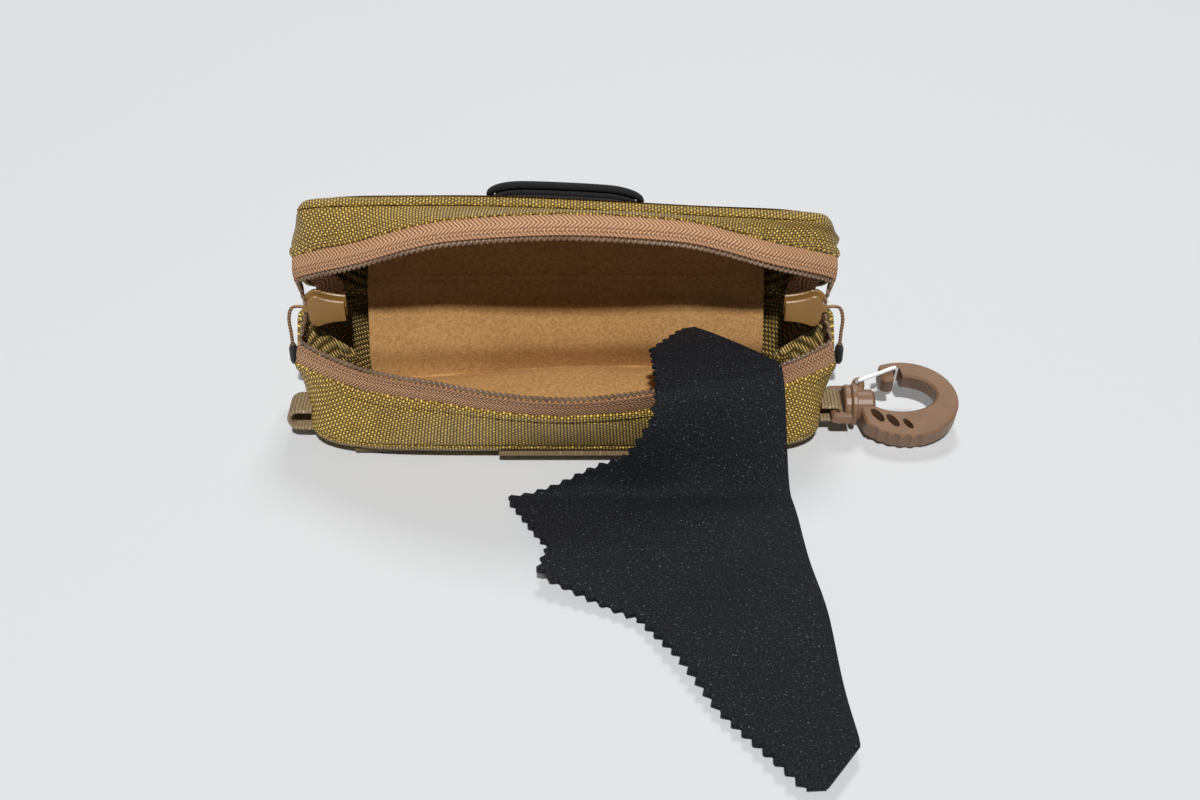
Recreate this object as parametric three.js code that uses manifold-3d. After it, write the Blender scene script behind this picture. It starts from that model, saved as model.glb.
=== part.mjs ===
// Zipped soft glasses case, lying on its strap side with the lid held open.
// Millimetres, +Z up. The origin is the middle of the underside; the mouth faces -Y.
import * as THREE from 'three';
import { mergeVertices } from 'three/addons/utils/BufferGeometryUtils.js';
import Module from 'manifold-3d';

const wasm = await Module();
wasm.setup();

// Driving dimensions: outlines seen from above, measured from the ends' widest line
const endY = 2;
const halfLength = 88;
const endTaper = 4;
const lidTaper = 2;
const endBulge = 1;
const lens = { frontPower: 1.75, frontRound: 1.13 };
const rim = { half: halfLength, front: 37, back: 22, ...lens, backPower: 6 };
const base = { half: halfLength - endTaper, front: 25, back: 21.5, frontPower: 5, backPower: 5 };
const seam = { half: halfLength + endBulge, front: 33.6, back: 22, ...lens, backPower: 6 };
const lidSeam = { half: halfLength + endBulge / 2, front: 34.5, back: 22, ...lens, backPower: 6 };
const lidTop = { half: halfLength - lidTaper, front: 16, back: 21.5, frontPower: 5, backPower: 5 };

// Driving dimensions: heights of the closed case
const underside = 3;
const panelEdge = 3.8;
const panelSkin = 2.2;
const rimZ = 35;
const rimDip = 3.4;
const dipStart = 35;
const dipEnd = 72;
const tapeWidth = 7.4;
const coilHeight = 1.8;
const lidFrontHeight = 22;
const lidSlope = 5;
const openAngle = 48;

// Driving dimensions: sheet thicknesses and clearances
const gap = 0.3;
const wallSkin = 2;
const tapeSkin = 1;
const liningSkin = 1.4;
const boardSkin = 1.2;
const webbing = 1.4;
const hingeGap = 0.6;
const liningHalf = halfLength - 24;
const liningClear = 1.1;
const lidLiningClear = 3.4;

// Driving dimensions: zip
const toothPitch = 1.95;
const toothDepth = 0.8;
const coilWidth = 1.6;
const sliderLength = 12;
const sliderNose = 2;
const sliderWidth = 11.6;
const sliderPlate = 1.3;
const sliderSlot = 2.6;
const sliderX = halfLength - 4.3;
const sliderY = 8;
const sliderZ = 40;
const pleat = 2.5;

// Driving dimensions: hook, loops and trim
const hookTilt = 17;
const hookAxisY = -2.4;
const hookAxisZ = 8.2;
const hookThickness = 7;
const loopWidth = 11;
const gateWire = 1.3;
const gateSpread = 4.6;
const patchWidth = 51.6;
const patchDepth = 29;
const beltWidth = 43;
const strapWidth = 20;
const strapX = base.half - 25;

const frontSteps = 14;
const backSteps = 12;
const hingeY = endY + seam.back + hingeGap;
const seamZ = rimZ - coilHeight - tapeWidth - 2 * gap;
const lidSeamZ = rimZ + coilHeight + tapeWidth + 2 * gap;
const lidTopFront = endY - lidTop.front;
const sideStart = frontSteps + 1;

const looks = {
  nylon: { color: 0xa08440, roughness: 0.62, metalness: 0 },
  tape: { color: 0xa9805f, roughness: 0.75, metalness: 0 },
  coil: { color: 0x8d6c4f, roughness: 0.35, metalness: 0 },
  lining: { color: 0xb88f5c, roughness: 0.95, metalness: 0 },
  board: { color: 0x3a3a38, roughness: 0.8, metalness: 0 },
  webbing: { color: 0xa08a68, roughness: 0.85, metalness: 0 },
  paint: { color: 0xa9834d, roughness: 0.4, metalness: 0.2 },
  hook: { color: 0x8f6c52, roughness: 0.45, metalness: 0 },
  steel: { color: 0xb8b8b6, roughness: 0.25, metalness: 1 },
  black: { color: 0x16171a, roughness: 0.7, metalness: 0 },
  cloth: { color: 0x0e1016, roughness: 0.85, metalness: 0 },
};

// One quarter of a rounded outline from (0, depth) to (half, 0): a superellipse, or a lens of two powers
class QuarterOutline extends THREE.Curve {
  constructor(half, depth, power, round = power) {
    super();
    this.half = half;
    this.depth = depth;
    this.alongExponent = 2 / power;
    this.acrossExponent = 2 / round;
    this.arcLengthDivisions = 600;
  }

  getPoint(t, target = new THREE.Vector3()) {
    const turn = (t * Math.PI) / 2;
    const across = Math.max(Math.cos(turn), 0) ** this.acrossExponent;
    return target.set(this.half * Math.sin(turn) ** this.alongExponent, this.depth * across, 0);
  }
}

// Points round an outline, from the front centre past +X, the back and -X
function outline(form, inset) {
  const front = new QuarterOutline(form.half - inset, form.front - inset, form.frontPower, form.frontRound);
  const back = new QuarterOutline(form.half - inset, form.back - inset, form.backPower);
  const right = front.getSpacedPoints(frontSteps).map((p) => [p.x, endY - p.y]);
  const rear = back.getSpacedPoints(backSteps).reverse().slice(1);
  right.push(...rear.map((p) => [p.x, endY + p.y]));
  right[right.length - 1][0] = 0;
  const left = right.slice(1, -1).reverse().map(([x, y]) => [-x, y]);
  return [...right, ...left];
}

// The same points lifted to a height, which may vary with the station along the outline
function ring(form, inset, height) {
  const last = frontSteps + backSteps;
  return outline(form, inset).map(([x, y], index) => {
    const station = index <= last ? index : 2 * last - index;
    const z = typeof height === 'function' ? height(y, station, x) : height;
    return new THREE.Vector3(x, y, z);
  });
}

// Depth of a superellipse of the given power at x, as a share of its full depth
function depthShare(x, half, power, round = power) {
  const share = 1 - Math.min(Math.abs(x) / half, 1) ** power;
  return share ** (1 / round);
}

// Where an outline's front and back edges lie in Y at a given x
function frontAt(form, x, inset) {
  return endY - (form.front - inset) * depthShare(x, form.half - inset, form.frontPower, form.frontRound);
}

function backAt(form, x, inset) {
  return endY + (form.back - inset) * depthShare(x, form.half - inset, form.backPower);
}

// How far the zip line sinks below its height at the middle, towards the ends
function dipAt(x) {
  return rimDip * THREE.MathUtils.smoothstep(Math.abs(x), dipStart, dipEnd);
}

function newellNormal(points) {
  const normal = new THREE.Vector3();
  points.forEach((p, i) => {
    const q = points[(i + 1) % points.length];
    normal.x += (p.y - q.y) * (p.z + q.z);
    normal.y += (p.z - q.z) * (p.x + q.x);
    normal.z += (p.x - q.x) * (p.y + q.y);
  });
  return normal.normalize();
}

// Flat triangles over a ring, turned towards its normal, or away from it
function cap(points, offset, along) {
  const normal = newellNormal(points);
  const side = new THREE.Vector3().subVectors(points[1], points[0]).normalize();
  const up = new THREE.Vector3().crossVectors(normal, side);
  const flat = points.map((p) => new THREE.Vector2(p.dot(side), p.dot(up)));
  return THREE.ShapeUtils.triangulateShape(flat, []).map(([a, b, c]) => {
    const ab = new THREE.Vector3().subVectors(points[b], points[a]);
    const ac = new THREE.Vector3().subVectors(points[c], points[a]);
    const forward = ab.cross(ac).dot(normal) > 0;
    return forward === along ? [a + offset, b + offset, c + offset] : [a + offset, c + offset, b + offset];
  });
}

// Indexed solid with its faces turned outwards
function solid(points, faces) {
  let volume = 0;
  faces.forEach(([a, b, c]) => {
    volume += points[a].dot(new THREE.Vector3().crossVectors(points[b], points[c]));
  });
  const index = volume < 0 ? faces.map(([a, b, c]) => [a, c, b]) : faces;
  const geometry = new THREE.BufferGeometry().setFromPoints(points);
  geometry.setIndex(index.flat());
  geometry.computeVertexNormals();
  return geometry;
}

// Loft through rings of equal point counts; an open row of rings gets end caps
function loft(rings, closed = false) {
  const count = rings[0].length;
  const points = rings.flat();
  const faces = [];
  const rows = closed ? rings.length : rings.length - 1;
  for (let row = 0; row < rows; row += 1) {
    const here = row * count;
    const next = ((row + 1) % rings.length) * count;
    for (let i = 0; i < count; i += 1) {
      const j = (i + 1) % count;
      faces.push([here + i, here + j, next + j], [here + i, next + j, next + i]);
    }
  }
  if (!closed) {
    faces.push(...cap(rings[0], 0, false));
    faces.push(...cap(rings[rings.length - 1], points.length - count, true));
  }
  return solid(points, faces);
}

function mirrored(geometry) {
  const copy = geometry.clone().applyMatrix4(new THREE.Matrix4().makeScale(-1, 1, 1));
  const index = copy.index ? [...copy.index.array] : [...Array(copy.attributes.position.count).keys()];
  for (let i = 0; i < index.length; i += 3) {
    [index[i + 1], index[i + 2]] = [index[i + 2], index[i + 1]];
  }
  copy.setIndex(index);
  return copy;
}

function toManifold(geometry) {
  const bare = geometry.clone();
  bare.deleteAttribute('normal');
  bare.deleteAttribute('uv');
  const merged = mergeVertices(bare, 1e-4);
  return new wasm.Manifold(new wasm.Mesh({
    numProp: 3,
    vertProperties: Float32Array.from(merged.attributes.position.array),
    triVerts: Uint32Array.from(merged.index.array),
  }));
}

function fromManifold(body) {
  const mesh = body.getMesh();
  const geometry = new THREE.BufferGeometry();
  geometry.setAttribute('position', new THREE.BufferAttribute(mesh.vertProperties, 3));
  geometry.setIndex(new THREE.BufferAttribute(mesh.triVerts, 1));
  geometry.computeVertexNormals();
  return geometry;
}

// Join some geometries, then cut others away
function combine(added, removed = []) {
  let body = toManifold(added[0]);
  added.slice(1).forEach((geometry) => {
    body = body.add(toManifold(geometry));
  });
  removed.forEach((geometry) => {
    body = body.subtract(toManifold(geometry));
  });
  return fromManifold(body);
}

function extrude(shape, depth, bevel = 0, arcSteps = 5) {
  const geometry = new THREE.ExtrudeGeometry(shape, {
    depth: depth - 2 * bevel,
    bevelEnabled: bevel > 0,
    bevelThickness: bevel,
    bevelSize: bevel,
    bevelOffset: -bevel,
    bevelSegments: 1,
    curveSegments: arcSteps,
  });
  return geometry.translate(0, 0, bevel);
}

function roundedRectangle(width, depth, radius) {
  const x = width / 2;
  const y = depth / 2;
  const shape = new THREE.Shape();
  shape.moveTo(radius - x, -y);
  shape.lineTo(x - radius, -y);
  shape.absarc(x - radius, radius - y, radius, -Math.PI / 2, 0, false);
  shape.lineTo(x, y - radius);
  shape.absarc(x - radius, y - radius, radius, 0, Math.PI / 2, false);
  shape.lineTo(radius - x, y);
  shape.absarc(radius - x, y - radius, radius, Math.PI / 2, Math.PI, false);
  shape.lineTo(-x, radius - y);
  shape.absarc(radius - x, radius - y, radius, Math.PI, 1.5 * Math.PI, false);
  return shape;
}

function part(name, geometry, look) {
  const mesh = new THREE.Mesh(geometry, new THREE.MeshStandardMaterial(looks[look]));
  mesh.name = name;
  return mesh;
}

// Lid heights in the closed case: the top panel rises towards the back
const lidTopZ = (y) => rimZ + lidFrontHeight + (y - lidTopFront) * Math.tan(THREE.MathUtils.degToRad(lidSlope));

// A panel skin with a turned edge; lift gives a height above the resting face of the panel
function panelShell(form, lift) {
  const edge = 1.3;
  return loft([
    ring(form, 4, (y) => lift(0, y)),
    ring(form, edge, (y) => lift(edge, y)),
    ring(form, 0, (y) => lift(panelEdge, y)),
    ring(form, wallSkin, (y) => lift(panelEdge, y)),
    ring(form, wallSkin + gap, (y) => lift(panelSkin, y)),
  ]);
}

function panelBoard(form, lift) {
  const inset = wallSkin + 3 * gap;
  const low = panelSkin + gap;
  return loft([
    ring(form, inset, (y) => lift(low, y)),
    ring(form, inset, (y) => lift(low + boardSkin, y)),
  ]);
}

// A fabric wall between the panel edge and the zip tape; behind the zip it runs on to the hinge
function sideWall(low, lowZ, high, highZ, hingeZ) {
  const top = (y, station, x) => (station > sideStart ? hingeZ : highZ - dipAt(x));
  return loft([
    ring(low, 0, (y) => lowZ(y)),
    ring(high, 0, top),
    ring(high, wallSkin, top),
    ring(low, wallSkin, (y) => lowZ(y)),
  ], true);
}

// Sections along the open stretch of the zip, from the left slider round the front to the right
function zipStations(make) {
  const total = 2 * (frontSteps + backSteps);
  const stations = [];
  for (let i = -sideStart; i <= sideStart; i += 1) {
    stations.push(make((i + total) % total));
  }
  return stations;
}

function zipTape(low, lowZ, highZ) {
  const edge = (y, station, x) => highZ - dipAt(x);
  const foot = (y, station, x) => lowZ - dipAt(x);
  const rings = [
    ring(low, 0, foot),
    ring(rim, 0, edge),
    ring(rim, tapeSkin, edge),
    ring(low, tapeSkin, foot),
  ];
  return loft(zipStations((i) => rings.map((points) => points[i])));
}

// A half chain: every other station is a tooth tip, so two chains half a pitch apart mesh
function zipCoil(rootZ, tipZ, phase) {
  const total = 2 * (frontSteps + backSteps);
  const middle = ring(rim, coilWidth / 2 + gap / 2, 0);
  const guide = [];
  for (let i = -frontSteps; i <= frontSteps; i += 1) {
    guide.push(middle[(i + total) % total]);
  }
  const path = new THREE.CatmullRomCurve3(guide);
  const stations = 2 * Math.round(path.getLength() / toothPitch);
  const direction = Math.sign(tipZ - rootZ);
  const sections = [];
  for (let i = 0; i <= stations; i += 1) {
    const centre = path.getPointAt(i / stations);
    const along = path.getTangentAt(i / stations);
    const out = new THREE.Vector3(along.y, -along.x, 0).multiplyScalar(coilWidth / 2);
    const dip = dipAt(centre.x);
    const root = rootZ - dip;
    const crest = ((i + phase) % 2 === 0 ? tipZ : tipZ - direction * toothDepth) - dip;
    sections.push([
      centre.clone().add(out).setZ(root),
      centre.clone().add(out).setZ(crest),
      centre.clone().sub(out).setZ(crest),
      centre.clone().sub(out).setZ(root),
    ]);
  }
  return loft(sections);
}

// Lining: one sheet down the front wall, across the panel and up the back wall
function lining(high, highZ, low, floorZ, hingeZ, frontClear) {
  const clear = wallSkin + liningClear;
  const slant = wallSkin + frontClear;
  const fold = 4;
  const side = Math.sign(highZ - floorZ(endY));
  const steps = 10;
  const sections = [];
  for (let i = 0; i <= steps; i += 1) {
    const x = liningHalf * ((2 * i) / steps - 1);
    const frontHigh = frontAt(high, x, slant);
    const frontLow = frontAt(low, x, slant) + fold / 2;
    const back = Math.min(backAt(low, x, clear), backAt(high, x, clear));
    const outer = [
      [frontHigh, highZ],
      [frontLow, floorZ(frontLow) + side * fold],
      [frontLow + fold, floorZ(frontLow + fold)],
      [back - fold, floorZ(back - fold)],
      [back, floorZ(back) + side * fold],
      [back, hingeZ],
    ];
    const inner = [
      [back - liningSkin, hingeZ],
      [back - liningSkin, floorZ(back) + side * (fold + liningSkin / 2)],
      [back - fold - liningSkin / 2, floorZ(back - fold) + side * liningSkin],
      [frontLow + fold + liningSkin / 2, floorZ(frontLow + fold) + side * liningSkin],
      [frontLow + liningSkin * 1.2, floorZ(frontLow) + side * (fold + liningSkin / 2)],
      [frontHigh + liningSkin * 1.3, highZ],
    ];
    sections.push([...outer, ...inner].map(([y, z]) => new THREE.Vector3(x, y, z)));
  }
  return loft(sections);
}

// Tray: everything that stays on the table
const tray = new THREE.Group();
const trayLift = (height) => underside + height;
const trayWallZ = underside + panelEdge + gap;
const floorZ = underside + panelSkin + 2 * gap + boardSkin + gap;
const trayTapeTop = rimZ - coilHeight - gap;
tray.add(part('base_panel', panelShell(base, trayLift), 'nylon'));
tray.add(part('base_board', panelBoard(base, trayLift), 'board'));
tray.add(part('tray_wall', sideWall(base, () => trayWallZ, seam, seamZ, rimZ - gap), 'nylon'));
tray.add(part('tray_zip_tape', zipTape(seam, seamZ + gap, trayTapeTop), 'tape'));
tray.add(part('tray_zip_coil', zipCoil(trayTapeTop + gap, rimZ - gap / 2, 0), 'coil'));
tray.add(part('tray_lining', lining(seam, seamZ - 1, base, () => floorZ, rimZ - 1, liningClear), 'lining'));

// Lid: drawn closed, then turned open about the hinge line along the back
const lid = new THREE.Group();
const lidLift = (height, y) => lidTopZ(y) - height;
const lidWallZ = (y) => lidTopZ(y) - panelEdge - gap;
const lidFloorZ = (y) => lidTopZ(y) - panelSkin - 3 * gap - boardSkin;
const lidTapeTop = rimZ + coilHeight + gap;
lid.add(part('lid_panel', panelShell(lidTop, lidLift), 'nylon'));
lid.add(part('lid_board', panelBoard(lidTop, lidLift), 'board'));
lid.add(part('lid_wall', sideWall(lidTop, lidWallZ, lidSeam, lidSeamZ, rimZ + gap), 'nylon'));
lid.add(part('lid_zip_tape', zipTape(lidSeam, lidSeamZ - gap, lidTapeTop), 'tape'));
lid.add(part('lid_zip_coil', zipCoil(lidTapeTop - gap, rimZ + gap / 2, 1), 'coil'));
lid.add(part('lid_lining', lining(lidSeam, lidSeamZ + 1, lidTop, lidFloorZ, rimZ + 1, lidLiningClear), 'lining'));

// Patch field on the lid: loop panel, hook backing, blank patch and its overlocked border
const patchStack = new THREE.Group();
const loopSkin = 1.6;
const backingSkin = 1.5;
const patchSkin = 1.3;
const borderRadius = 1.25;
const patchCorner = 12;
const patchY = lidTopFront + 5.5 + patchDepth / 2;
patchStack.position.set(0, patchY, lidTopZ(patchY) + gap);
patchStack.rotation.x = THREE.MathUtils.degToRad(lidSlope);
const patchPlate = (inset, thickness, lift) => extrude(
  roundedRectangle(patchWidth - 2 * inset, patchDepth - 2 * inset, patchCorner - inset),
  thickness,
).translate(0, 0, lift);
const backingZ = loopSkin + gap;
const patchZ = backingZ + backingSkin + gap;
patchStack.add(part('loop_field', patchPlate(0, loopSkin, 0), 'black'));
patchStack.add(part('patch_backing', patchPlate(1, backingSkin, backingZ), 'black'));
patchStack.add(part('patch', patchPlate(2 * borderRadius + gap, patchSkin, patchZ), 'black'));

// The border is a round bead that follows the patch's edge
function patchBorder() {
  const sides = 6;
  const edge = roundedRectangle(patchWidth - 2 * borderRadius, patchDepth - 2 * borderRadius, patchCorner - borderRadius);
  const points = edge.getSpacedPoints(48).slice(0, -1);
  const rings = points.map((p, i) => {
    const q = points[(i + 1) % points.length];
    const o = points[(i + points.length - 1) % points.length];
    const out = new THREE.Vector2(q.y - o.y, o.x - q.x).normalize();
    return [...Array(sides).keys()].map((k) => {
      const turn = (2 * Math.PI * k) / sides;
      const reach = borderRadius * Math.cos(turn);
      const z = patchZ + borderRadius + borderRadius * Math.sin(turn);
      return new THREE.Vector3(p.x + out.x * reach, p.y + out.y * reach, z);
    });
  });
  return loft(rings, true);
}
patchStack.add(part('patch_border', patchBorder(), 'black'));
lid.add(patchStack);
lid.position.set(0, -hingeY, -rimZ);
const lidPivot = new THREE.Group();
lidPivot.add(lid);
lidPivot.position.set(0, hingeY, rimZ);
lidPivot.rotation.x = -THREE.MathUtils.degToRad(openAngle);

// Fabric spine: a strip sewn over the hinge, half on each back wall
function spineStrip() {
  const reach = 13;
  const skin = 1;
  const half = liningHalf + 2;
  const turn = THREE.MathUtils.degToRad(openAngle);
  const up = new THREE.Vector2(Math.sin(turn), Math.cos(turn));
  const out = new THREE.Vector2(Math.cos(turn), -Math.sin(turn));
  const inner = endY + seam.back + gap - hingeY;
  const lidPoint = (away, along) => up.clone().multiplyScalar(along).addScaledVector(out, away);
  const corner = (away) => new THREE.Vector2(away, -away * Math.tan(turn / 2));
  const points = [
    new THREE.Vector2(inner, -reach),
    new THREE.Vector2(inner, -1),
    lidPoint(inner, 1),
    lidPoint(inner, reach),
    lidPoint(inner + skin, reach),
    corner(inner + skin),
    new THREE.Vector2(inner + skin, -reach),
  ];
  const at = (x) => points.map((p) => new THREE.Vector3(x, hingeY + p.x, rimZ + p.y));
  return loft([at(-half), at(half)]);
}
const joins = new THREE.Group();
joins.add(part('spine_strip', spineStrip(), 'nylon'));

// Zipped end: behind each slider the closed chain runs in, folds and comes back to the corner
function zippedEnd() {
  const skin = 1.2 * tapeSkin;
  const tail = sliderX - sliderLength;
  const tip = liningHalf + pleat;
  const plan = [
    [tail + sliderLength / 4, sliderY],
    [tail, sliderY],
    [tip + pleat / 2, sliderY + pleat / 6],
    [tip, sliderY + pleat],
    [tip + pleat / 2, sliderY + 1.9 * pleat],
    [tail + sliderLength / 3, sliderY + 2.5 * pleat],
    [tail + 0.7 * sliderLength, sliderY + 3.2 * pleat],
    [tail + 0.78 * sliderLength, sliderY + 3.8 * pleat],
  ];
  const narrow = 0.31 * sliderWidth;
  const wide = tapeWidth - 2 * gap;
  const path = new THREE.CatmullRomCurve3(plan.map(([x, y]) => new THREE.Vector3(x, y, 0)));
  const steps = 22;
  const sections = [];
  for (let i = 0; i <= steps; i += 1) {
    const share = i / steps;
    const centre = path.getPointAt(share);
    const along = path.getTangentAt(share);
    const out = new THREE.Vector3(along.y, -along.x, 0).multiplyScalar(skin / 2);
    const grow = Math.min(1, Math.max(0, (share - 0.12) / 0.12));
    const fall = Math.max(0, (share - 0.55) / 0.45);
    const reach = narrow + (wide - narrow) * grow - 0.66 * wide * fall;
    const middle = sliderZ - 0.7 * (sliderZ - rimZ) * fall;
    sections.push([
      centre.clone().add(out).setZ(middle - reach),
      centre.clone().add(out).setZ(middle + reach),
      centre.clone().sub(out).setZ(middle + reach),
      centre.clone().sub(out).setZ(middle - reach),
    ]);
  }
  return loft(sections);
}
joins.add(part('zip_end_right', zippedEnd(), 'tape'));
joins.add(part('zip_end_left', mirrored(zippedEnd()), 'tape'));

// Slider: two shield plates on a wedge post, with a lug for the pull on the outer plate
function sliderPlateShape(nose) {
  const half = sliderWidth / 2;
  const shoulder = 0.28 * sliderLength;
  const shape = new THREE.Shape();
  shape.moveTo(-nose, -half * 0.45);
  shape.quadraticCurveTo(shoulder / 6, -half * 1.1, shoulder, -half);
  shape.quadraticCurveTo(sliderLength / 2, -half * 0.72, sliderLength, -half * 0.64);
  shape.lineTo(sliderLength, half * 0.64);
  shape.quadraticCurveTo(sliderLength / 2, half * 0.72, shoulder, half);
  shape.quadraticCurveTo(shoulder / 6, half * 1.1, -nose, half * 0.45);
  return shape;
}

const lugReach = 2.2;
const lugBore = 0.9;
const lugAt = 4.5;

function slider() {
  const post = new THREE.Shape();
  const flank = 0.15 * sliderWidth;
  post.moveTo(-sliderNose, -flank / 3);
  post.lineTo(0.2 * sliderLength, -flank);
  post.lineTo(0.37 * sliderLength, 0);
  post.lineTo(0.2 * sliderLength, flank);
  post.lineTo(-sliderNose, flank / 3);
  const join = 0.2;
  const inner = extrude(sliderPlateShape(0), sliderPlate, 0.3).translate(0, 0, sliderSlot / 2);
  const outer = extrude(sliderPlateShape(sliderNose), sliderPlate, 0.3).translate(0, 0, -sliderSlot / 2 - sliderPlate);
  const wedge = extrude(post, sliderSlot + 2 * join).translate(0, 0, -sliderSlot / 2 - join);
  const lug = new THREE.BoxGeometry(5, 2, lugReach + join);
  lug.translate(lugAt, 0, -sliderSlot / 2 - sliderPlate - lugReach / 2 + join / 2);
  const bore = new THREE.CylinderGeometry(lugBore, lugBore, 4, 12);
  bore.translate(lugAt, 0, -sliderSlot / 2 - sliderPlate - lugReach / 2);
  return combine([inner, outer, wedge, lug], [bore]);
}

// Laid on its side: length towards the middle of the case, inner plate facing the mouth
function placeSlider(geometry) {
  const axes = new THREE.Matrix4().makeBasis(
    new THREE.Vector3(-1, 0, 0),
    new THREE.Vector3(0, 0, -1),
    new THREE.Vector3(0, -1, 0),
  );
  return geometry.clone().applyMatrix4(axes).translate(sliderX, sliderY, sliderZ);
}

const sliderRight = placeSlider(slider());
joins.add(part('slider_right', sliderRight, 'paint'));
joins.add(part('slider_left', mirrored(sliderRight), 'paint'));

// Pull: a moulded cord-like tab through the lug, out past the end wall and down to its tip
const lugX = sliderX - lugAt;
const lugY = sliderY + sliderSlot / 2 + sliderPlate + lugReach / 2;
const pullRadius = 0.6;
const tipRadius = 1.5;
const sliderRun = 3;
const pullX = seam.half + sliderRun + gap;
const pullTipZ = 13;
const cordFall = 4;
const cordBack = 2.9;

function pull() {
  const section = new THREE.Shape();
  section.absarc(0, 0, pullRadius, 0, 2 * Math.PI, false);
  const exitZ = sliderZ - cordFall;
  const backY = lugY + cordBack;
  const route = new THREE.CatmullRomCurve3([
    new THREE.Vector3(lugX, lugY, sliderZ + 1.7),
    new THREE.Vector3(lugX, lugY, sliderZ - 1.8),
    new THREE.Vector3(lugX + 2, lugY + cordBack / 2, exitZ + 0.8),
    new THREE.Vector3(lugX + 6, backY - 0.3, exitZ),
    new THREE.Vector3(pullX - 1.6, backY, exitZ - 0.3),
    new THREE.Vector3(pullX, backY, exitZ - 4.2),
    new THREE.Vector3(pullX, backY, pullTipZ + 12),
    new THREE.Vector3(pullX, backY, pullTipZ + 6),
  ]);
  const cord = new THREE.ExtrudeGeometry(section, { steps: 26, extrudePath: route, curveSegments: 3, bevelEnabled: false });
  const profile = [[0, 0], [1.1, 0.3], [tipRadius, 1.4], [tipRadius, 6.2], [0.9, 8], [0, 8]];
  const tip = new THREE.LatheGeometry(profile.map(([r, z]) => new THREE.Vector2(r, z)), 10);
  tip.rotateX(Math.PI / 2).translate(pullX, backY, pullTipZ);
  return combine([cord, tip]);
}
const pullRight = pull();
joins.add(part('pull_right', pullRight, 'black'));
joins.add(part('pull_left', mirrored(pullRight), 'black'));

// Underside: a wide belt loop and two snap straps across the panel
const strapFront = base.front - endY + 2;
const strapBack = endY + base.back - 2;

function beltLoop() {
  const top = underside - gap;
  const sewn = 6;
  const shape = new THREE.Shape();
  shape.moveTo(-strapFront, 0);
  shape.lineTo(strapBack, 0);
  shape.lineTo(strapBack, top);
  shape.lineTo(strapBack - sewn, top);
  shape.lineTo(strapBack - sewn, webbing);
  shape.lineTo(sewn - strapFront, webbing);
  shape.lineTo(sewn - strapFront, top);
  shape.lineTo(-strapFront, top);
  const geometry = extrude(shape, beltWidth).translate(0, 0, -beltWidth / 2);
  const axes = new THREE.Matrix4().makeBasis(
    new THREE.Vector3(0, 1, 0),
    new THREE.Vector3(0, 0, 1),
    new THREE.Vector3(1, 0, 0),
  );
  return geometry.applyMatrix4(axes);
}
joins.add(part('belt_loop', beltLoop(), 'webbing'));

const strapInset = 6;
const snapRadius = 4.8;
const snapHeight = 0.7;
const snapLow = 0.3;

function snapStrap(side, name) {
  const front = strapFront - strapInset;
  const length = front + strapBack - 2;
  const strap = extrude(roundedRectangle(strapWidth, length, 3), webbing);
  strap.translate(side * strapX, length / 2 - front, underside - gap - webbing);
  joins.add(part(`strap_${name}`, strap, 'webbing'));
  const profile = [
    [0, 0],
    [snapRadius - 1.2, 0],
    [snapRadius, snapHeight / 2],
    [snapRadius, snapHeight],
    [0, snapHeight],
  ];
  const button = new THREE.LatheGeometry(profile.map(([r, z]) => new THREE.Vector2(r, z)), 18);
  button.rotateX(Math.PI / 2);
  button.translate(side * strapX, snapRadius + 0.5 - front, snapLow);
  joins.add(part(`snap_${name}`, button, 'black'));
}
snapStrap(-1, 'left');
snapStrap(1, 'right');

// Webbing loops sewn into the end seams, with a tunnel that runs along Y
const wallRise = seamZ - rimDip - trayWallZ;

// Where a loop of that tunnel radius starts: clear of the end wall at the loop's top
function loopStart(radius) {
  const share = (hookAxisZ + radius + webbing - trayWallZ) / wallRise;
  return base.half + (seam.half - base.half) * share + 2 * gap;
}

function sideLoop(radius, reach, width, y) {
  const flat = radius + webbing;
  const shape = new THREE.Shape();
  shape.moveTo(0, -flat);
  shape.lineTo(webbing + reach, -flat);
  shape.absarc(webbing + reach, 0, flat, -Math.PI / 2, Math.PI / 2, false);
  shape.lineTo(0, flat);
  const tunnel = new THREE.Path();
  tunnel.moveTo(webbing, -radius);
  tunnel.lineTo(webbing + reach, -radius);
  tunnel.absarc(webbing + reach, 0, radius, -Math.PI / 2, Math.PI / 2, false);
  tunnel.lineTo(webbing, radius);
  shape.holes.push(tunnel);
  const geometry = extrude(shape, width).translate(0, 0, -width / 2);
  return geometry.rotateX(Math.PI / 2).translate(loopStart(radius), y, hookAxisZ);
}
const hookLoopRadius = 1.9;
const hookLoopReach = 1.3;
joins.add(part('hook_loop', sideLoop(hookLoopRadius, hookLoopReach, loopWidth, hookAxisY), 'webbing'));
const spareLoopRadius = 2.9;
const spareLoopReach = 2.8;
const spareLoopY = hookAxisY - 3.6;
const spareLoopTuck = 1.8;
const spareLoop = sideLoop(spareLoopRadius, spareLoopReach, loopWidth, spareLoopY);
spareLoop.translate(-spareLoopTuck, 0, 0);
joins.add(part('spare_loop', mirrored(spareLoop), 'webbing'));

// Swivel eye: a bar through the webbing loop, two arms, a cross piece and a headed stem
const barRadius = 1.3;
const hookLoopStart = loopStart(hookLoopRadius);
const barX = hookLoopStart + webbing + (hookLoopReach + hookLoopRadius) / 2;
const eyeCross = hookLoopStart + hookLoopReach + hookLoopRadius + 2 * webbing + gap;
const eyeFlange = 2;
const hookX = eyeCross + eyeFlange + gap;
const stemRadius = 2.2;
const headRadius = 3;
const headStart = 3.2;
const headLength = 2.4;
const stemClear = 0.4;
const flangeRadius = 6.6;

function alongX(profile, segments) {
  const lathe = new THREE.LatheGeometry(profile.map(([r, x]) => new THREE.Vector2(r, x)), segments);
  return lathe.rotateZ(-Math.PI / 2);
}

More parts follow.
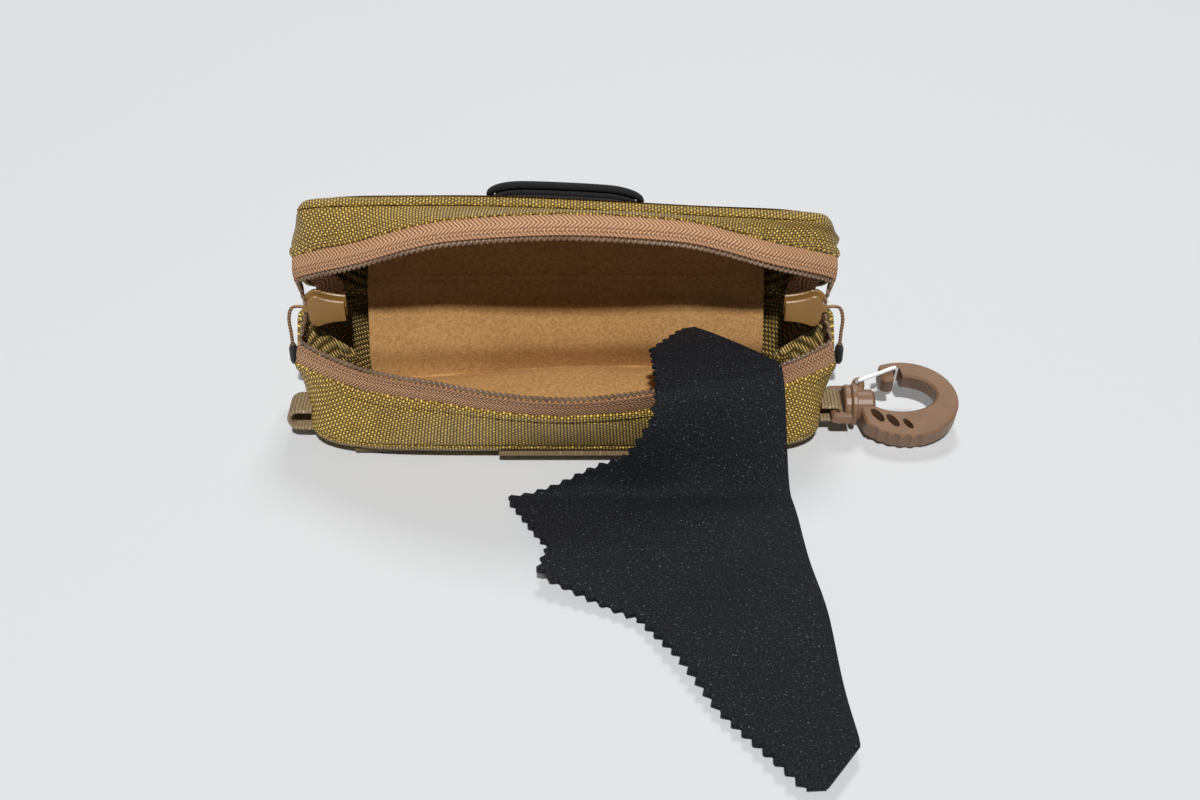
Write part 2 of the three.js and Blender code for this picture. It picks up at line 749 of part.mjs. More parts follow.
function swivelEye() {
  const armY = loopWidth / 2 + 2 * gap + barRadius;
  const bar = new THREE.CylinderGeometry(barRadius, barRadius, 2 * armY, 12);
  bar.translate(barX, 0, 0);
  const arms = [-armY, armY].map((y) => {
    const reach = eyeCross + eyeFlange - barX;
    const arm = new THREE.BoxGeometry(reach, 2 * barRadius, 2 * barRadius);
    return arm.translate(barX + reach / 2, y, 0);
  });
  const ends = [-armY, armY].map((y) => {
    const end = new THREE.CylinderGeometry(barRadius, barRadius, 2 * barRadius, 12);
    return end.translate(barX, y, 0);
  });
  const cross = new THREE.BoxGeometry(eyeFlange, 2 * (armY + barRadius), 2 * barRadius);
  cross.translate(eyeCross + eyeFlange / 2, 0, 0);
  const stem = alongX([
    [0, 0],
    [flangeRadius - 0.5, 0],
    [flangeRadius, 0.5],
    [flangeRadius, eyeFlange],
    [stemRadius, eyeFlange],
    [stemRadius, eyeFlange + gap + headStart],
    [headRadius, eyeFlange + gap + headStart],
    [headRadius - 0.8, eyeFlange + gap + headStart + headLength],
    [0, eyeFlange + gap + headStart + headLength],
  ], 20).translate(eyeCross, 0, 0);
  return combine([bar, ...arms, ...ends, cross, stem]).translate(0, hookAxisY, hookAxisZ);
}
joins.add(part('swivel_eye', swivelEye(), 'hook'));

// Snap hook, drawn flat: x runs away from the collar, y towards the gate side
const bow = { x: 18, halfLength: 17.8, halfWidth: 15.4 };
const throat = { x: 16.6, y: 2.2, halfLength: 12.2, halfWidth: 7.2 };
const gatePivot = [2.4, 6.3];
const gateTip = [16.4, 11.8];
const notchRadius = gateWire / 2 + 2 * gap;
const pinReach = 2;

function hookBody() {
  const bevel = 0.7;
  const degrees = THREE.MathUtils.degToRad;
  const shape = new THREE.Shape();
  shape.moveTo(0.6, -5.5);
  shape.absellipse(bow.x, 0, bow.halfLength, bow.halfWidth, degrees(-140), degrees(112), false, 0);
  shape.quadraticCurveTo(10.2, 13.4, 10.4, 11.6);
  shape.lineTo(11, 8.6);
  shape.quadraticCurveTo(11.6, 7.2, 13.4, 7.1);
  shape.quadraticCurveTo(15.6, 7.2, gateTip[0], 8.6);
  shape.absellipse(throat.x, throat.y, throat.halfLength, throat.halfWidth, degrees(78), degrees(-195), true, 0);
  shape.quadraticCurveTo(6, 8.2, 3.8, 9.2);
  shape.quadraticCurveTo(1.2, 9.2, 0.6, 5.5);
  // The gate's end bar rests in a notch behind the nose, open towards the throat
  const notch = new THREE.Shape();
  notch.moveTo(gateTip[0] - notchRadius, 6);
  notch.lineTo(gateTip[0] + notchRadius + 1.5, 6);
  notch.lineTo(gateTip[0] + notchRadius, gateTip[1]);
  notch.absarc(gateTip[0], gateTip[1], notchRadius, 0, Math.PI, false);
  const recess = extrude(notch, 2 * hookThickness).translate(0, 0, -hookThickness);
  const slots = [[8.2, -6.9, 3.2], [13, -9, 3.1], [17.9, -10.3, 2.4]].map(([x, y, reach]) => {
    const slot = new THREE.Shape();
    slot.absellipse(x, y, reach, 0.46 * reach, 0, 2 * Math.PI, false, degrees(-55));
    return extrude(slot, 2 * hookThickness).translate(0, 0, -hookThickness);
  });
  const plate = extrude(shape, hookThickness, bevel, 14).translate(0, 0, -hookThickness / 2);
  const collar = alongX([[0, 0], [6.4, 0], [7, 0.6], [7, 1.6], [5, 2.2], [5, 7], [4, 8], [0, 8]], 20);
  const bore = alongX([
    [0, -1],
    [stemRadius + stemClear, -1],
    [stemRadius + stemClear, headStart - stemClear],
    [headRadius + stemClear, headStart - stemClear],
    [headRadius + stemClear, headStart + headLength + stemClear],
    [0, headStart + headLength + stemClear],
  ], 20);
  const pinHole = new THREE.CylinderGeometry(gateWire / 2 + gap, gateWire / 2 + gap, 2 * hookThickness, 10);
  pinHole.rotateX(Math.PI / 2).translate(gatePivot[0], gatePivot[1], 0);
  const grips = [-128, -116, -104, -92, -80].map((angle) => {
    const grip = new THREE.CylinderGeometry(1.6, 1.6, 2 * hookThickness, 10).rotateX(Math.PI / 2);
    const x = bow.x + (bow.halfLength + 0.9) * Math.cos(degrees(angle));
    return grip.translate(x, (bow.halfWidth + 0.9) * Math.sin(degrees(angle)), 0);
  });
  return combine([plate, collar], [bore, pinHole, recess, ...slots, ...grips]);
}

// Wire gate: one bent wire, its two ends pinned in the hook's pivot hole
function wireGate() {
  const [px, py] = gatePivot;
  const [tx, ty] = gateTip;
  const turn = 0.8;
  const side = (sign) => [
    [px, py, sign * pinReach],
    [px, py, sign * (gateSpread - turn)],
    [px + turn, py + 0.1, sign * gateSpread],
    [(px + tx) / 2, (py + ty) / 2, sign * gateSpread],
    [tx - turn, ty, sign * gateSpread],
    [tx, ty, sign * (gateSpread - turn)],
  ];
  const route = [...side(1), ...side(-1).reverse()].map((p) => new THREE.Vector3(...p));
  const path = new THREE.CatmullRomCurve3(route, false, 'catmullrom', 0.3);
  const section = new THREE.Shape();
  section.absarc(0, 0, gateWire / 2, 0, 2 * Math.PI, false);
  return new THREE.ExtrudeGeometry(section, { steps: 44, extrudePath: path, curveSegments: 3, bevelEnabled: false });
}
const hookGroup = new THREE.Group();
hookGroup.add(part('hook_body', hookBody(), 'hook'));
hookGroup.add(part('wire_gate', wireGate(), 'steel'));
hookGroup.position.set(hookX, hookAxisY, hookAxisZ);
hookGroup.rotation.x = THREE.MathUtils.degToRad(hookTilt);

// Folded cleaning cloth, draped from the inside over the front rim and out on the table
const clothSkin = 1.1;
const clothLip = 35.9;
const clothHang = 42;
const clothTableY = -41;
const clothRows = 36;
const clothColumns = 12;
const clothStart = -41;
const clothEnd = 160;
const clothLeft = new THREE.LinearInterpolant(
  [-41, -27, 0, 12, 24, 34, 42, 68, 80, 96, 112, 131, 160],
  [40, 29, 30, 28, 20, 0, -17, -3, -6, 23, 34, 44, 66],
  1,
);
const clothRight = new THREE.LinearInterpolant([-41, 0, 42, 100, 146, 160], [43, 69, 72, 77, 80, 70], 1);

// Middle surface of the cloth: a sagging run inside, a curve over the rim, then flat waves
function clothPoint(x, run) {
  const lipY = frontAt(rim, x, 0) - 1;
  const lipZ = clothLip - dipAt(x);
  if (run < 0) {
    const share = run / clothStart;
    return new THREE.Vector3(x, lipY - run, lipZ - 8 * share ** 1.6);
  }
  const low = clothSkin / 2 + gap;
  if (run < clothHang) {
    const fall = new THREE.CubicBezierCurve(
      new THREE.Vector2(lipY, lipZ),
      new THREE.Vector2(lipY - 9, lipZ),
      new THREE.Vector2(clothTableY + 12, low),
      new THREE.Vector2(clothTableY, low),
    ).getPoint(run / clothHang);
    const ripple = 1.4 * Math.sin((Math.PI * run) / clothHang) * Math.sin(x / 5.5);
    return new THREE.Vector3(x, fall.x - 1.4 + ripple - 1.4 * Math.sin((Math.PI * run) / clothHang), fall.y);
  }
  const out = run - clothHang;
  const rise = Math.min(1, out / 25);
  const wave = rise * (1 + Math.sin(out / 13 + x / 26)) * 1.1;
  return new THREE.Vector3(x, clothTableY - 1.4 - out, low + wave);
}

function cloth() {
  const step = 0.5;
  const sections = [];
  for (let row = 0; row <= clothRows; row += 1) {
    const run = clothStart + ((clothEnd - clothStart) * row) / clothRows;
    const from = clothLeft.evaluate(run)[0];
    const to = clothRight.evaluate(run)[0];
    const upper = [];
    const lower = [];
    for (let column = 0; column <= clothColumns; column += 1) {
      const x = from + ((to - from) * column) / clothColumns;
      const centre = clothPoint(x, run);
      const across = clothPoint(x + step, run).sub(clothPoint(x - step, run));
      const down = clothPoint(x, run + step).sub(clothPoint(x, run - step));
      const normal = down.cross(across).normalize().multiplyScalar(clothSkin / 2);
      upper.push(centre.clone().add(normal));
      lower.unshift(centre.clone().sub(normal));
    }
    sections.push([...upper, ...lower]);
  }
  return loft(sections);
}
joins.add(part('cloth', cloth(), 'cloth'));

const glassesCase = new THREE.Group();
glassesCase.add(tray, lidPivot, joins, hookGroup);
export default glassesCase;
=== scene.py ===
import math
import bpy
import numpy as np
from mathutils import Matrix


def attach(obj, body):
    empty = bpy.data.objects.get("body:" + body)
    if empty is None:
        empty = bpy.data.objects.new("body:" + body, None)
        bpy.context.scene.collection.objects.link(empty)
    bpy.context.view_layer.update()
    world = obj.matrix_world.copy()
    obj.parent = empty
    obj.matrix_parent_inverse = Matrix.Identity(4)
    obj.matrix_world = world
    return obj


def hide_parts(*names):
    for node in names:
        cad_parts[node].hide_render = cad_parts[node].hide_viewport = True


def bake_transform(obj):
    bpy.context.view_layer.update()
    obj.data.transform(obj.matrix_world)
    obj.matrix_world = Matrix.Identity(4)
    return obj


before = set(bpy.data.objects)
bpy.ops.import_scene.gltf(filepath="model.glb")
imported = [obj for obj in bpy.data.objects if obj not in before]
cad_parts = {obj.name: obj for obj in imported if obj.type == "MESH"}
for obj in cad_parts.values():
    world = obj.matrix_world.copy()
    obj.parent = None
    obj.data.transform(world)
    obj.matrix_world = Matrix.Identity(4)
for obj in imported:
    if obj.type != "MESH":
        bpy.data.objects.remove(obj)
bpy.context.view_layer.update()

milli = 0.001  # one millimetre in metres
sharpAngle = 55  # degrees past which an edge is drawn sharp

# measures of the case in millimetres and degrees, most of them the same as in the part
case = {
    "endY": 2, "rimZ": 35, "hingeY": 24.6, "openAngle": 48, "rimDip": 3.4, "dipStart": 35, "dipEnd": 72,
    "lidFront": -14, "lidFrontZ": 57, "lidSlope": 5, "seamZ": 25.2, "lidSeamZ": 44.8,
    # the lid's soft top sinks to the right: how far, then start and length along X and up Z
    "lidSag": 4.6, "sagAlong": (-40, 125), "sagUp": (45, 9),
    "tapeWidth": 7.4, "zipPast": 8.8, "frontSteps": 150, "backSteps": 110,
}
# outlines from above: half length, depth before and behind the widest line, and how square the corners are
rim = {"half": 88, "front": 37, "back": 22, "frontPower": 1.75, "frontRound": 1.13, "backPower": 6}
base = {"half": 84, "front": 25, "back": 21.5, "frontPower": 5, "frontRound": 5, "backPower": 5}
seam = {"half": 89, "front": 33.6, "back": 22, "frontPower": 1.75, "frontRound": 1.13, "backPower": 6}
lidSeam = {"half": 88.5, "front": 34.5, "back": 22, "frontPower": 1.75, "frontRound": 1.13, "backPower": 6}
lidTop = {"half": 86, "front": 16, "back": 21.5, "frontPower": 5, "frontRound": 5, "backPower": 5}


# from 0 to 1 with level ends: three squares of the share less two cubes
def smoothStep(value):
    share = np.clip(value, 0, 1)
    return share * share * (3 - 2 * share)


# each vector over its own length
def unit(vectors):
    return vectors / np.linalg.norm(vectors, axis=-1, keepdims=True)


# points in a plane with a height for each, or one height for each column
def withZ(flat, z):
    return np.concatenate([flat, np.broadcast_to(z, flat.shape[:-1])[..., None]], -1)


# straight lines from one curve to another: a row for each pair of points, a column for each share
def ruled(low, high, share):
    return low[:, None] * (1 - share)[None, :, None] + high[:, None] * share[None, :, None]


# a sum of sine waves with seeded directions, lengths and phases, about -1 to 1
def softWaves(points, length, seed, count=7):
    rng = np.random.default_rng(seed)
    heading = unit(rng.normal(size=(count, 3)))
    heading *= rng.uniform(0.6, 1.6, (count, 1)) * 2 * np.pi / length
    phase = rng.uniform(0, 2 * np.pi, count)
    return np.sin(points @ heading.T + phase).sum(-1) / 3.2


# clamped cubic spline: each row holds the weights of the control points at one sample
def splineWeights(controls, samples):
    knots = np.concatenate([np.zeros(3), np.linspace(0, 1, controls - 2), np.ones(3)])
    t = np.clip(np.linspace(0, 1, samples), 0, 1 - 1e-9)[:, None]
    weights = ((t >= knots[:-1]) & (t < knots[1:])).astype(float)
    for degree in range(1, 4):
        spanA = knots[degree:-1] - knots[:-degree - 1]
        spanB = knots[degree + 1:] - knots[1:-degree]
        blank = np.zeros((samples, len(spanA)))
        fall = np.divide(t - knots[:-degree - 1], spanA, out=blank.copy(), where=spanA > 0)
        rise = np.divide(knots[degree + 1:] - t, spanB, out=blank.copy(), where=spanB > 0)
        weights = fall * weights[:, :-1] + rise * weights[:, 1:]
    return weights


# a path on the spline of a few control points
def smoothPath(controls, samples):
    controls = np.array(controls, float)
    return splineWeights(len(controls), samples) @ controls


# the length run along a path at each of its points
def runAlong(path):
    return np.append(0, np.cumsum(np.linalg.norm(np.diff(path, axis=0), axis=1)))


# a quarter outline from (0, depth) to (half, 0): one power along and one across, equal steps of arc length
def quarterCurve(half, depth, power, rounding, steps, fine=6001):
    turn = np.linspace(0, np.pi / 2, fine)
    x = half * np.sin(turn) ** (2 / power)
    y = depth * np.clip(np.cos(turn), 0, 1) ** (2 / rounding)
    run = runAlong(np.stack([x, y], 1))
    want = np.linspace(0, run[-1], steps + 1)
    return np.interp(want, run, x), np.interp(want, run, y)


# the line between a point's two neighbours, turned outwards by a right angle
def outwardNormal(ring):
    tangent = np.roll(ring, -1, 0) - np.roll(ring, 1, 0)
    return unit(np.stack([tangent[:, 1], -tangent[:, 0]], 1))


# front and back quarters joined at the widest line and mirrored, from the front centre past +X
def outlineRing(form):
    front = form["half"], form["front"], form["frontPower"], form["frontRound"]
    back = form["half"], form["back"], form["backPower"], form["backPower"]
    frontX, frontY = quarterCurve(*front, case["frontSteps"])
    backX, backY = quarterCurve(*back, case["backSteps"])
    x = np.append(frontX, backX[-2::-1])
    y = case["endY"] + np.append(-frontY, backY[-2::-1])
    right = np.stack([x, y], 1)
    ring = np.concatenate([right, right[-2:0:-1] * [-1, 1]])
    return ring, outwardNormal(ring)


# arc length past the widest line at each end: below zero along the front, above it behind
def pastEnd(ring):
    steps = np.linalg.norm(np.roll(ring, -1, 0) - ring, axis=1)
    run = np.append(0, np.cumsum(steps))[:-1]
    back = run[case["frontSteps"] + case["backSteps"]]
    return np.minimum(run, 2 * back - run) - run[case["frontSteps"]]


# the rim falls away towards each end, with a level start and stop
def dipAt(x):
    return case["rimDip"] * smoothStep((np.abs(x) - case["dipStart"]) / (case["dipEnd"] - case["dipStart"]))


# depth of an outline at x as a share: one less a power of x over the half length, then a root
def edgeShare(x, half, power, rounding):
    return (1 - np.minimum(np.abs(x) / half, 1) ** power) ** (1 / rounding)


# where an outline, set in all round, has its front and its back at x
def frontAt(form, x, inset):
    share = edgeShare(x, form["half"] - inset, form["frontPower"], form["frontRound"])
    return case["endY"] - (form["front"] - inset) * share


def backAt(form, x, inset):
    share = edgeShare(x, form["half"] - inset, form["backPower"], form["backPower"])
    return case["endY"] + (form["back"] - inset) * share


# the lid's top while shut: a plane that rises towards the hinge
def lidTopZ(y):
    return case["lidFrontZ"] + (y - case["lidFront"]) * math.tan(math.radians(case["lidSlope"]))


# turn of points about an X line at (y, z), by degrees
def turnX(points, degrees, y, z):
    c, s = math.cos(math.radians(degrees)), math.sin(math.radians(degrees))
    dy, dz = points[..., 1] - y, points[..., 2] - z
    return np.stack([points[..., 0], y + dy * c - dz * s, z + dy * s + dz * c], -1)


# the lid's top sinks towards its right end, then the lid turns open
def openLid(points):
    startX, lengthX = case["sagAlong"]
    startZ, lengthZ = case["sagUp"]
    sag = case["lidSag"] * smoothStep((points[..., 0] - startX) / lengthX)
    sag = sag * smoothStep((points[..., 2] - startZ) / lengthZ)
    sunk = withZ(points[..., :2], points[..., 2] - sag)
    return turnX(sunk, -case["openAngle"], case["hingeY"], case["rimZ"])


# a grid of points becomes a closed mesh with faces outwards: rows run along, columns round
# ends that stay open are closed by one face, or by a fan about their middle
def skin(name, grid, uv, wrapRows=False, wrapColumns=True):
    rows, columns = grid.shape[:2]
    index = np.arange(rows * columns).reshape(rows, columns)
    full = np.vstack([index, index[:1]]) if wrapRows else index
    full = np.hstack([full, full[:, :1]]) if wrapColumns else full
    faces = np.stack([full[:-1, :-1], full[1:, :-1], full[1:, 1:], full[:-1, 1:]], -1).reshape(-1, 4)
    corners = np.stack([uv[:-1, :-1], uv[1:, :-1], uv[1:, 1:], uv[:-1, 1:]], 2).reshape(-1, 4, 2)
    points = grid.reshape(-1, 3)
    polygons, polygonUv = faces.tolist(), [corners.reshape(-1, 2)]
    if wrapColumns and not wrapRows:
        for row, order in ((0, slice(None)), (-1, slice(None, None, -1))):
            polygons.append(index[row, order].tolist())
            polygonUv.append(uv[row, :columns][order])
    if wrapRows and not wrapColumns:
        for column, flip in ((0, True), (-1, False)):
            middle = len(points)
            points = np.vstack([points, grid[:, column].mean(0)])
            here, there = full[:-1, column], full[1:, column]
            first, second = (there, here) if flip else (here, there)
            fan = np.stack([first, second, np.full(rows, middle)], 1)
            hereUv, thereUv = uv[:-1, column], uv[1:, column]
            fanUv = np.stack([thereUv, hereUv] if flip else [hereUv, thereUv], 1)
            centreUv = np.broadcast_to(uv[:, column].mean(0), (rows, 1, 2))
            polygons += fan.tolist()
            polygonUv.append(np.concatenate([fanUv, centreUv], 1).reshape(-1, 2))
    # a volume below zero means that the faces point inwards
    a, b, c, d = (points[faces[:, k]] - points.mean(0) for k in range(4))
    volume = (a * np.cross(b, c)).sum() + (a * np.cross(c, d)).sum()
    mesh = bpy.data.meshes.new(name)
    mesh.from_pydata((points * milli).tolist(), [], polygons)
    layer = mesh.uv_layers.new(name="weave")
    layer.data.foreach_set("uv", np.concatenate(polygonUv).astype(np.float32).ravel())
    if volume < 0:
        mesh.flip_normals()
    mesh.polygons.foreach_set("use_smooth", np.ones(len(mesh.polygons), bool))
    mesh.set_sharp_from_angle(angle=math.radians(sharpAngle))
    mesh.update()
    piece = bpy.data.objects.new(name, mesh)
    bpy.context.scene.collection.objects.link(piece)
    return piece


# the flat map of a grid: length along and length across at each point
def gridUv(alongRun, acrossRun):
    return np.stack(np.meshgrid(alongRun, acrossRun, indexing="ij"), -1)


# a closed section (across, up) carried along a path with side and up directions at each point
def sweepGrid(path, side, up, section):
    return path[:, None] + side[:, None] * section[None, :, :1] + up[:, None] * section[None, :, 1:]


# a flat section with half round edges, from the lower left round to the left edge
def stripSection(width, thickness, across, corner=3):
    turn = np.linspace(-np.pi / 2, np.pi / 2, corner + 2)
    half, radius = width / 2 - thickness / 2, thickness / 2
    flat = np.linspace(-half, half, across)[1:-1]
    right = np.stack([half + radius * np.cos(turn), radius * np.sin(turn)], 1)
    left = -right
    bottom = np.stack([flat, np.full(len(flat), -radius)], 1)
    return np.concatenate([bottom, right, -bottom, left])


# a flat strip carried along a path, its width along X or Y
def stripPiece(name, path, sideAxis, width, thickness, across):
    path = np.array(path, float)
    side = np.broadcast_to(np.array(sideAxis, float), path.shape)
    up = unit(np.cross(np.gradient(path, axis=0), side))
    section = stripSection(width, thickness, across)
    acrossRun = np.append(section[:, 0], section[0, 0])
    return skin(name, sweepGrid(path, side, up, section), gridUv(runAlong(path), acrossRun)[..., ::-1])


# the look, the body that carries the piece, a slot name that is not used, and the CAD nodes that it stands
# for
def setUp(piece, look, body, slot, *nodes):
    piece.data.materials.append(look)
    if body:
        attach(piece, body)
    if nodes:
        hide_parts(*nodes)
    return piece


# a shader value: operators on it add Math nodes
class Wire:
    def __init__(self, tree, socket=None):
        self.tree = tree
        self.socket = socket

    # any node: its settings first, then values or links of its sockets
    def add(self, kind, settings=None, sockets=None, out=0):
        made = self.tree.nodes.new(kind)
        for key, value in (settings or {}).items():
            setattr(made, key, value)
        for key, value in (sockets or {}).items():
            if isinstance(value, Wire):
                self.tree.links.new(value.socket, made.inputs[key])
            else:
                made.inputs[key].default_value = value
        return Wire(self.tree, made.outputs[out])

    def math(self, operation, *others):
        return self.add("ShaderNodeMath", {"operation": operation}, dict(enumerate((self, *others))))

    def __add__(self, other):
        return self.math("ADD", other)

    def __mul__(self, other):
        return self.math("MULTIPLY", other)

    def __sub__(self, other):
        return self.math("SUBTRACT", other)

    def __truediv__(self, other):
        return self.math("DIVIDE", other)

    def __rsub__(self, other):
        return self.add("ShaderNodeMath", {"operation": "SUBTRACT"}, {0: other, 1: self})

    def __rtruediv__(self, other):
        return self.add("ShaderNodeMath", {"operation": "DIVIDE"}, {0: other, 1: self})

    __radd__ = __add__
    __rmul__ = __mul__

    def between(self, low, high):
        settings = {"interpolation_type": "SMOOTHSTEP", "clamp": True}
        return self.add("ShaderNodeMapRange", settings, {"Value": self, "From Min": low, "From Max": high})

    def blendColours(self, first, second):
        return self.add("ShaderNodeMix", {"data_type": "RGBA"}, {0: self, 6: first, 7: second}, 2)

    def speckle(self, vector, scale, detail=3.0, roughness=0.6):
        sockets = {"Vector": vector, "Scale": scale, "Detail": detail, "Roughness": roughness}
        return self.add("ShaderNodeTexNoise", {}, sockets)


def newLook(name):
    look = bpy.data.materials.new(name)
    look.use_nodes = True
    return look, Wire(look.node_tree)


def objectPoint(wire):
    return wire.add("ShaderNodeTexCoord", {}, {}, "Object")


def axisOf(point, axis):
    return point.add("ShaderNodeSeparateXYZ", {}, {0: point}, axis)


# the piece's own map in millimetres: the point, along, across
def weavePoint(wire):
    point = wire.add("ShaderNodeUVMap", {"uv_map": "weave"})
    return point, axisOf(point, 0), axisOf(point, 1)


# colour, roughness and a bump for the shader; fixed holds plain values of other sockets
def surface(look, wire, colour, roughness, height=None, distance=0.0002, strength=1.0, fixed=None):
    shader = look.node_tree.nodes["Principled BSDF"]
    for socket, value in (("Base Color", colour), ("Roughness", roughness)):
        if isinstance(value, Wire):
            look.node_tree.links.new(value.socket, shader.inputs[socket])
        else:
            shader.inputs[socket].default_value = value
    if height is not None:
        sockets = {"Height": height, "Distance": distance, "Strength": strength}
        bump = wire.add("ShaderNodeBump", {}, sockets)
        look.node_tree.links.new(bump.socket, shader.inputs["Normal"])
    for socket, value in (fixed or {}).items():
        shader.inputs[socket].default_value = value
    return look


# nylon: millimetres from yarn to yarn, flatness and slant of the rows, shape of a crown, relief in metres
nylon = {
    "pitch": 1.02, "flat": 0.8, "slant": 0.1, "solidSlant": 0.7, "yarnRound": 3.4, "crownTurn": 2.9,
    "relief": 0.00055,
}


# plain weave: raised yarn crowns that swap direction from cell to cell, on the map or through the solid; the
# colour is a painted highlight on the crowns and painted shade in the gaps between yarns
def nylonLook(name, dark, light, weft, solid=False):
    look, wire = newLook(name)
    if solid:
        place = objectPoint(wire)
        x, y, z = (axisOf(place, axis) * (1 / milli) for axis in range(3))
        u, v = x + y, z + (x - y) * nylon["solidSlant"]
    else:
        u, v = weavePoint(wire)[1:]
    u, v = u / nylon["pitch"], v / (nylon["flat"] * nylon["pitch"]) + u * nylon["slant"]
    cellU, cellV = u.math("FLOOR"), v.math("FLOOR")
    restU, restV = u - cellU - 0.5, v - cellV - 0.5
    parity = ((cellU + cellV) * 0.5).math("FRACT") * 2
    across = restU * (1 - parity) + restV * parity
    along = restV * (1 - parity) + restU * parity
    roundYarn = (1 - across * across * nylon["yarnRound"]).math("MAXIMUM", 0).math("SQRT")
    crown = roundYarn * (along * nylon["crownTurn"]).math("COSINE").math("MAXIMUM", 0)
    cell = wire.add("ShaderNodeCombineXYZ", {}, {0: cellU, 1: cellV})
    yarn = wire.add("ShaderNodeTexWhiteNoise", {"noise_dimensions": "2D"}, {"Vector": cell})
    cloudy = wire.speckle(objectPoint(wire), 60.0, 2.0)
    # crowns take the light colour as a painted highlight, gaps take the dark colour as painted shade
    paintedCrownLight = crown.between(0.2, 0.9) * (0.6 + yarn * 0.4) * (0.8 + cloudy * 0.4)
    thread = parity.blendColours(weft, light)
    colour = paintedCrownLight.blendColours(dark, thread)
    return surface(look, wire, colour, 0.6 - crown * 0.3, crown, nylon["relief"], 1.0)


# zip tape in millimetres: ribs, herringbone columns, yarns, and the two rows of stitches by the teeth
tape = {
    "pitch": 1.4, "column": 5.8, "yarn": 0.45,
    "stitchRows": (4.8, 6.1), "stitchPitch": 0.975, "stitchHalf": 0.5,
    # back from the teeth: where the painted shade beside the teeth starts, where it is full, and its share
    "edgeStart": 1.3, "edgeFull": 0.3, "teethShade": 0.4,
}


# herringbone: slanted ribs that turn at each column, with fine yarns across and stitches that dip; the
# grooves between ribs and the stitch dips are darkened as painted shade
def tapeLook(name, dark, light, edge):
    look, wire = newLook(name)
    u, v = weavePoint(wire)[1:]
    fold = ((v / tape["column"]).math("FRACT") - 0.5).math("ABSOLUTE") * (2 * tape["column"])
    rib = ((u + fold * 0.5) / tape["pitch"]).math("FRACT") - 0.5
    ridge = 1 - (rib * 2).math("ABSOLUTE")
    fine = (v / tape["yarn"]).math("FRACT") - 0.5
    thread = 1 - (fine * 2).math("ABSOLUTE") * 0.12
    holes = 0
    for row in tape["stitchRows"]:
        beside = 1 - ((v - row) / tape["stitchHalf"]).math("ABSOLUTE").math("MINIMUM", 1)
        step = ((u / tape["stitchPitch"]).math("FRACT") - 0.5).math("ABSOLUTE")
        holes = beside.between(0.15, 0.7) * step.between(0.32, 0.2) + holes
    cloudy = wire.speckle(objectPoint(wire), 220.0, 3.0)
    # rib grooves and stitch holes are darkened here as painted shade
    tone = (ridge.between(0.25, 0.75) * thread * 0.8 + cloudy * 0.12) * (1 - holes * 0.85)
    colour = tone.blendColours(dark, light)
    start, full = case["tapeWidth"] - tape["edgeStart"], case["tapeWidth"] - tape["edgeFull"]
    # towards the teeth the tape darkens to the edge colour as painted shade between tape and coil
    colour = (v.between(start, full) * tape["teethShade"]).blendColours(colour, edge)
    return surface(look, wire, colour, 0.8, ridge - holes, 0.0003, 0.9)


# brushed fleece: two sizes of fibre speckle over soft clouds
def fleeceLook(name, dark, light):
    look, wire = newLook(name)
    place = objectPoint(wire)
    tuft = wire.speckle(place, 900.0, 4.0, 0.7)
    fibre = wire.speckle(place, 2600.0, 2.0)
    cloudy = wire.speckle(place, 45.0, 2.0)
    tone = tuft.between(0.3, 0.7) * 0.5 + fibre.between(0.3, 0.7) * 0.3 + cloudy * 0.3
    return surface(look, wire, tone.blendColours(dark, light), 0.95, tuft + fibre * 0.5, 0.0003, 0.6)


# ribbed webbing: cords side by side across the width, each in picks, with light flecks; darker between cords
# and picks as painted shade
def webbingLook(name, ribPitch, dark, light, fleck):
    look, wire = newLook(name)
    point, u, v = weavePoint(wire)
    cord = v / ribPitch
    rib = 1 - (cord.math("FRACT") - 0.5).math("ABSOLUTE") * 2
    pick = 1 - ((u + cord.math("FLOOR") * 0.5).math("FRACT") - 0.5).math("ABSOLUTE") * 2
    tone = rib.between(0.05, 0.8) * (0.4 + pick * 0.6)
    spark = wire.speckle(point, 1.6, 2.0).between(0.58, 0.68)
    colour = (spark * pick).blendColours(tone.blendColours(dark, light), fleck)
    return surface(look, wire, colour, 0.85, rib * pick, 0.00025, 0.8)


# moulded or painted: a cloudy tone with a fine grain
def plasticLook(name, dark, light, roughness, grain, coat=0.0):
    look, wire = newLook(name)
    place = objectPoint(wire)
    cloudy, fine = wire.speckle(place, 90.0, 3.0), wire.speckle(place, grain, 2.0)
    colour = cloudy.between(0.3, 0.7).blendColours(dark, light)
    rough = roughness - 0.08 + fine * 0.16
    return surface(look, wire, colour, rough, fine, 0.00004, 0.5, {"Coat Weight": coat})


# drawn wire: a streaked tone, partly metal
def steelLook(name, dark, light):
    look, wire = newLook(name)
    streak = wire.speckle(objectPoint(wire), 700.0, 3.0)
    colour = streak.blendColours(dark, light)
    return surface(look, wire, colour, 0.26 + streak * 0.2, streak, 0.00002, 0.4, {"Metallic": 0.6})


# knitted microfibre: fine slanted ribs whose tone climbs across each rib as painted shading, and sparse
# bright specks that are painted glints on the fibres
def microfibreLook(name, ribPitch, dark, light, spark):
    look, wire = newLook(name)
    point, u, v = weavePoint(wire)
    rib = ((u + v) / ribPitch).math("FRACT")
    fine = wire.speckle(point, 1.5, 3.0, 0.7)
    glints = wire.speckle(point, 1.35, 1.0).between(0.66, 0.74)
    cloudy = wire.speckle(objectPoint(wire), 40.0, 2.0)
    tone = fine.between(0.45, 0.7) * 0.75 + rib * 0.15 + cloudy * 0.1
    colour = (glints * fine).blendColours(tone.blendColours(dark, light), spark)
    return surface(look, wire, colour, 0.85, fine + rib * 0.4, 0.00012, 0.6, {"Specular IOR Level": 0.2})


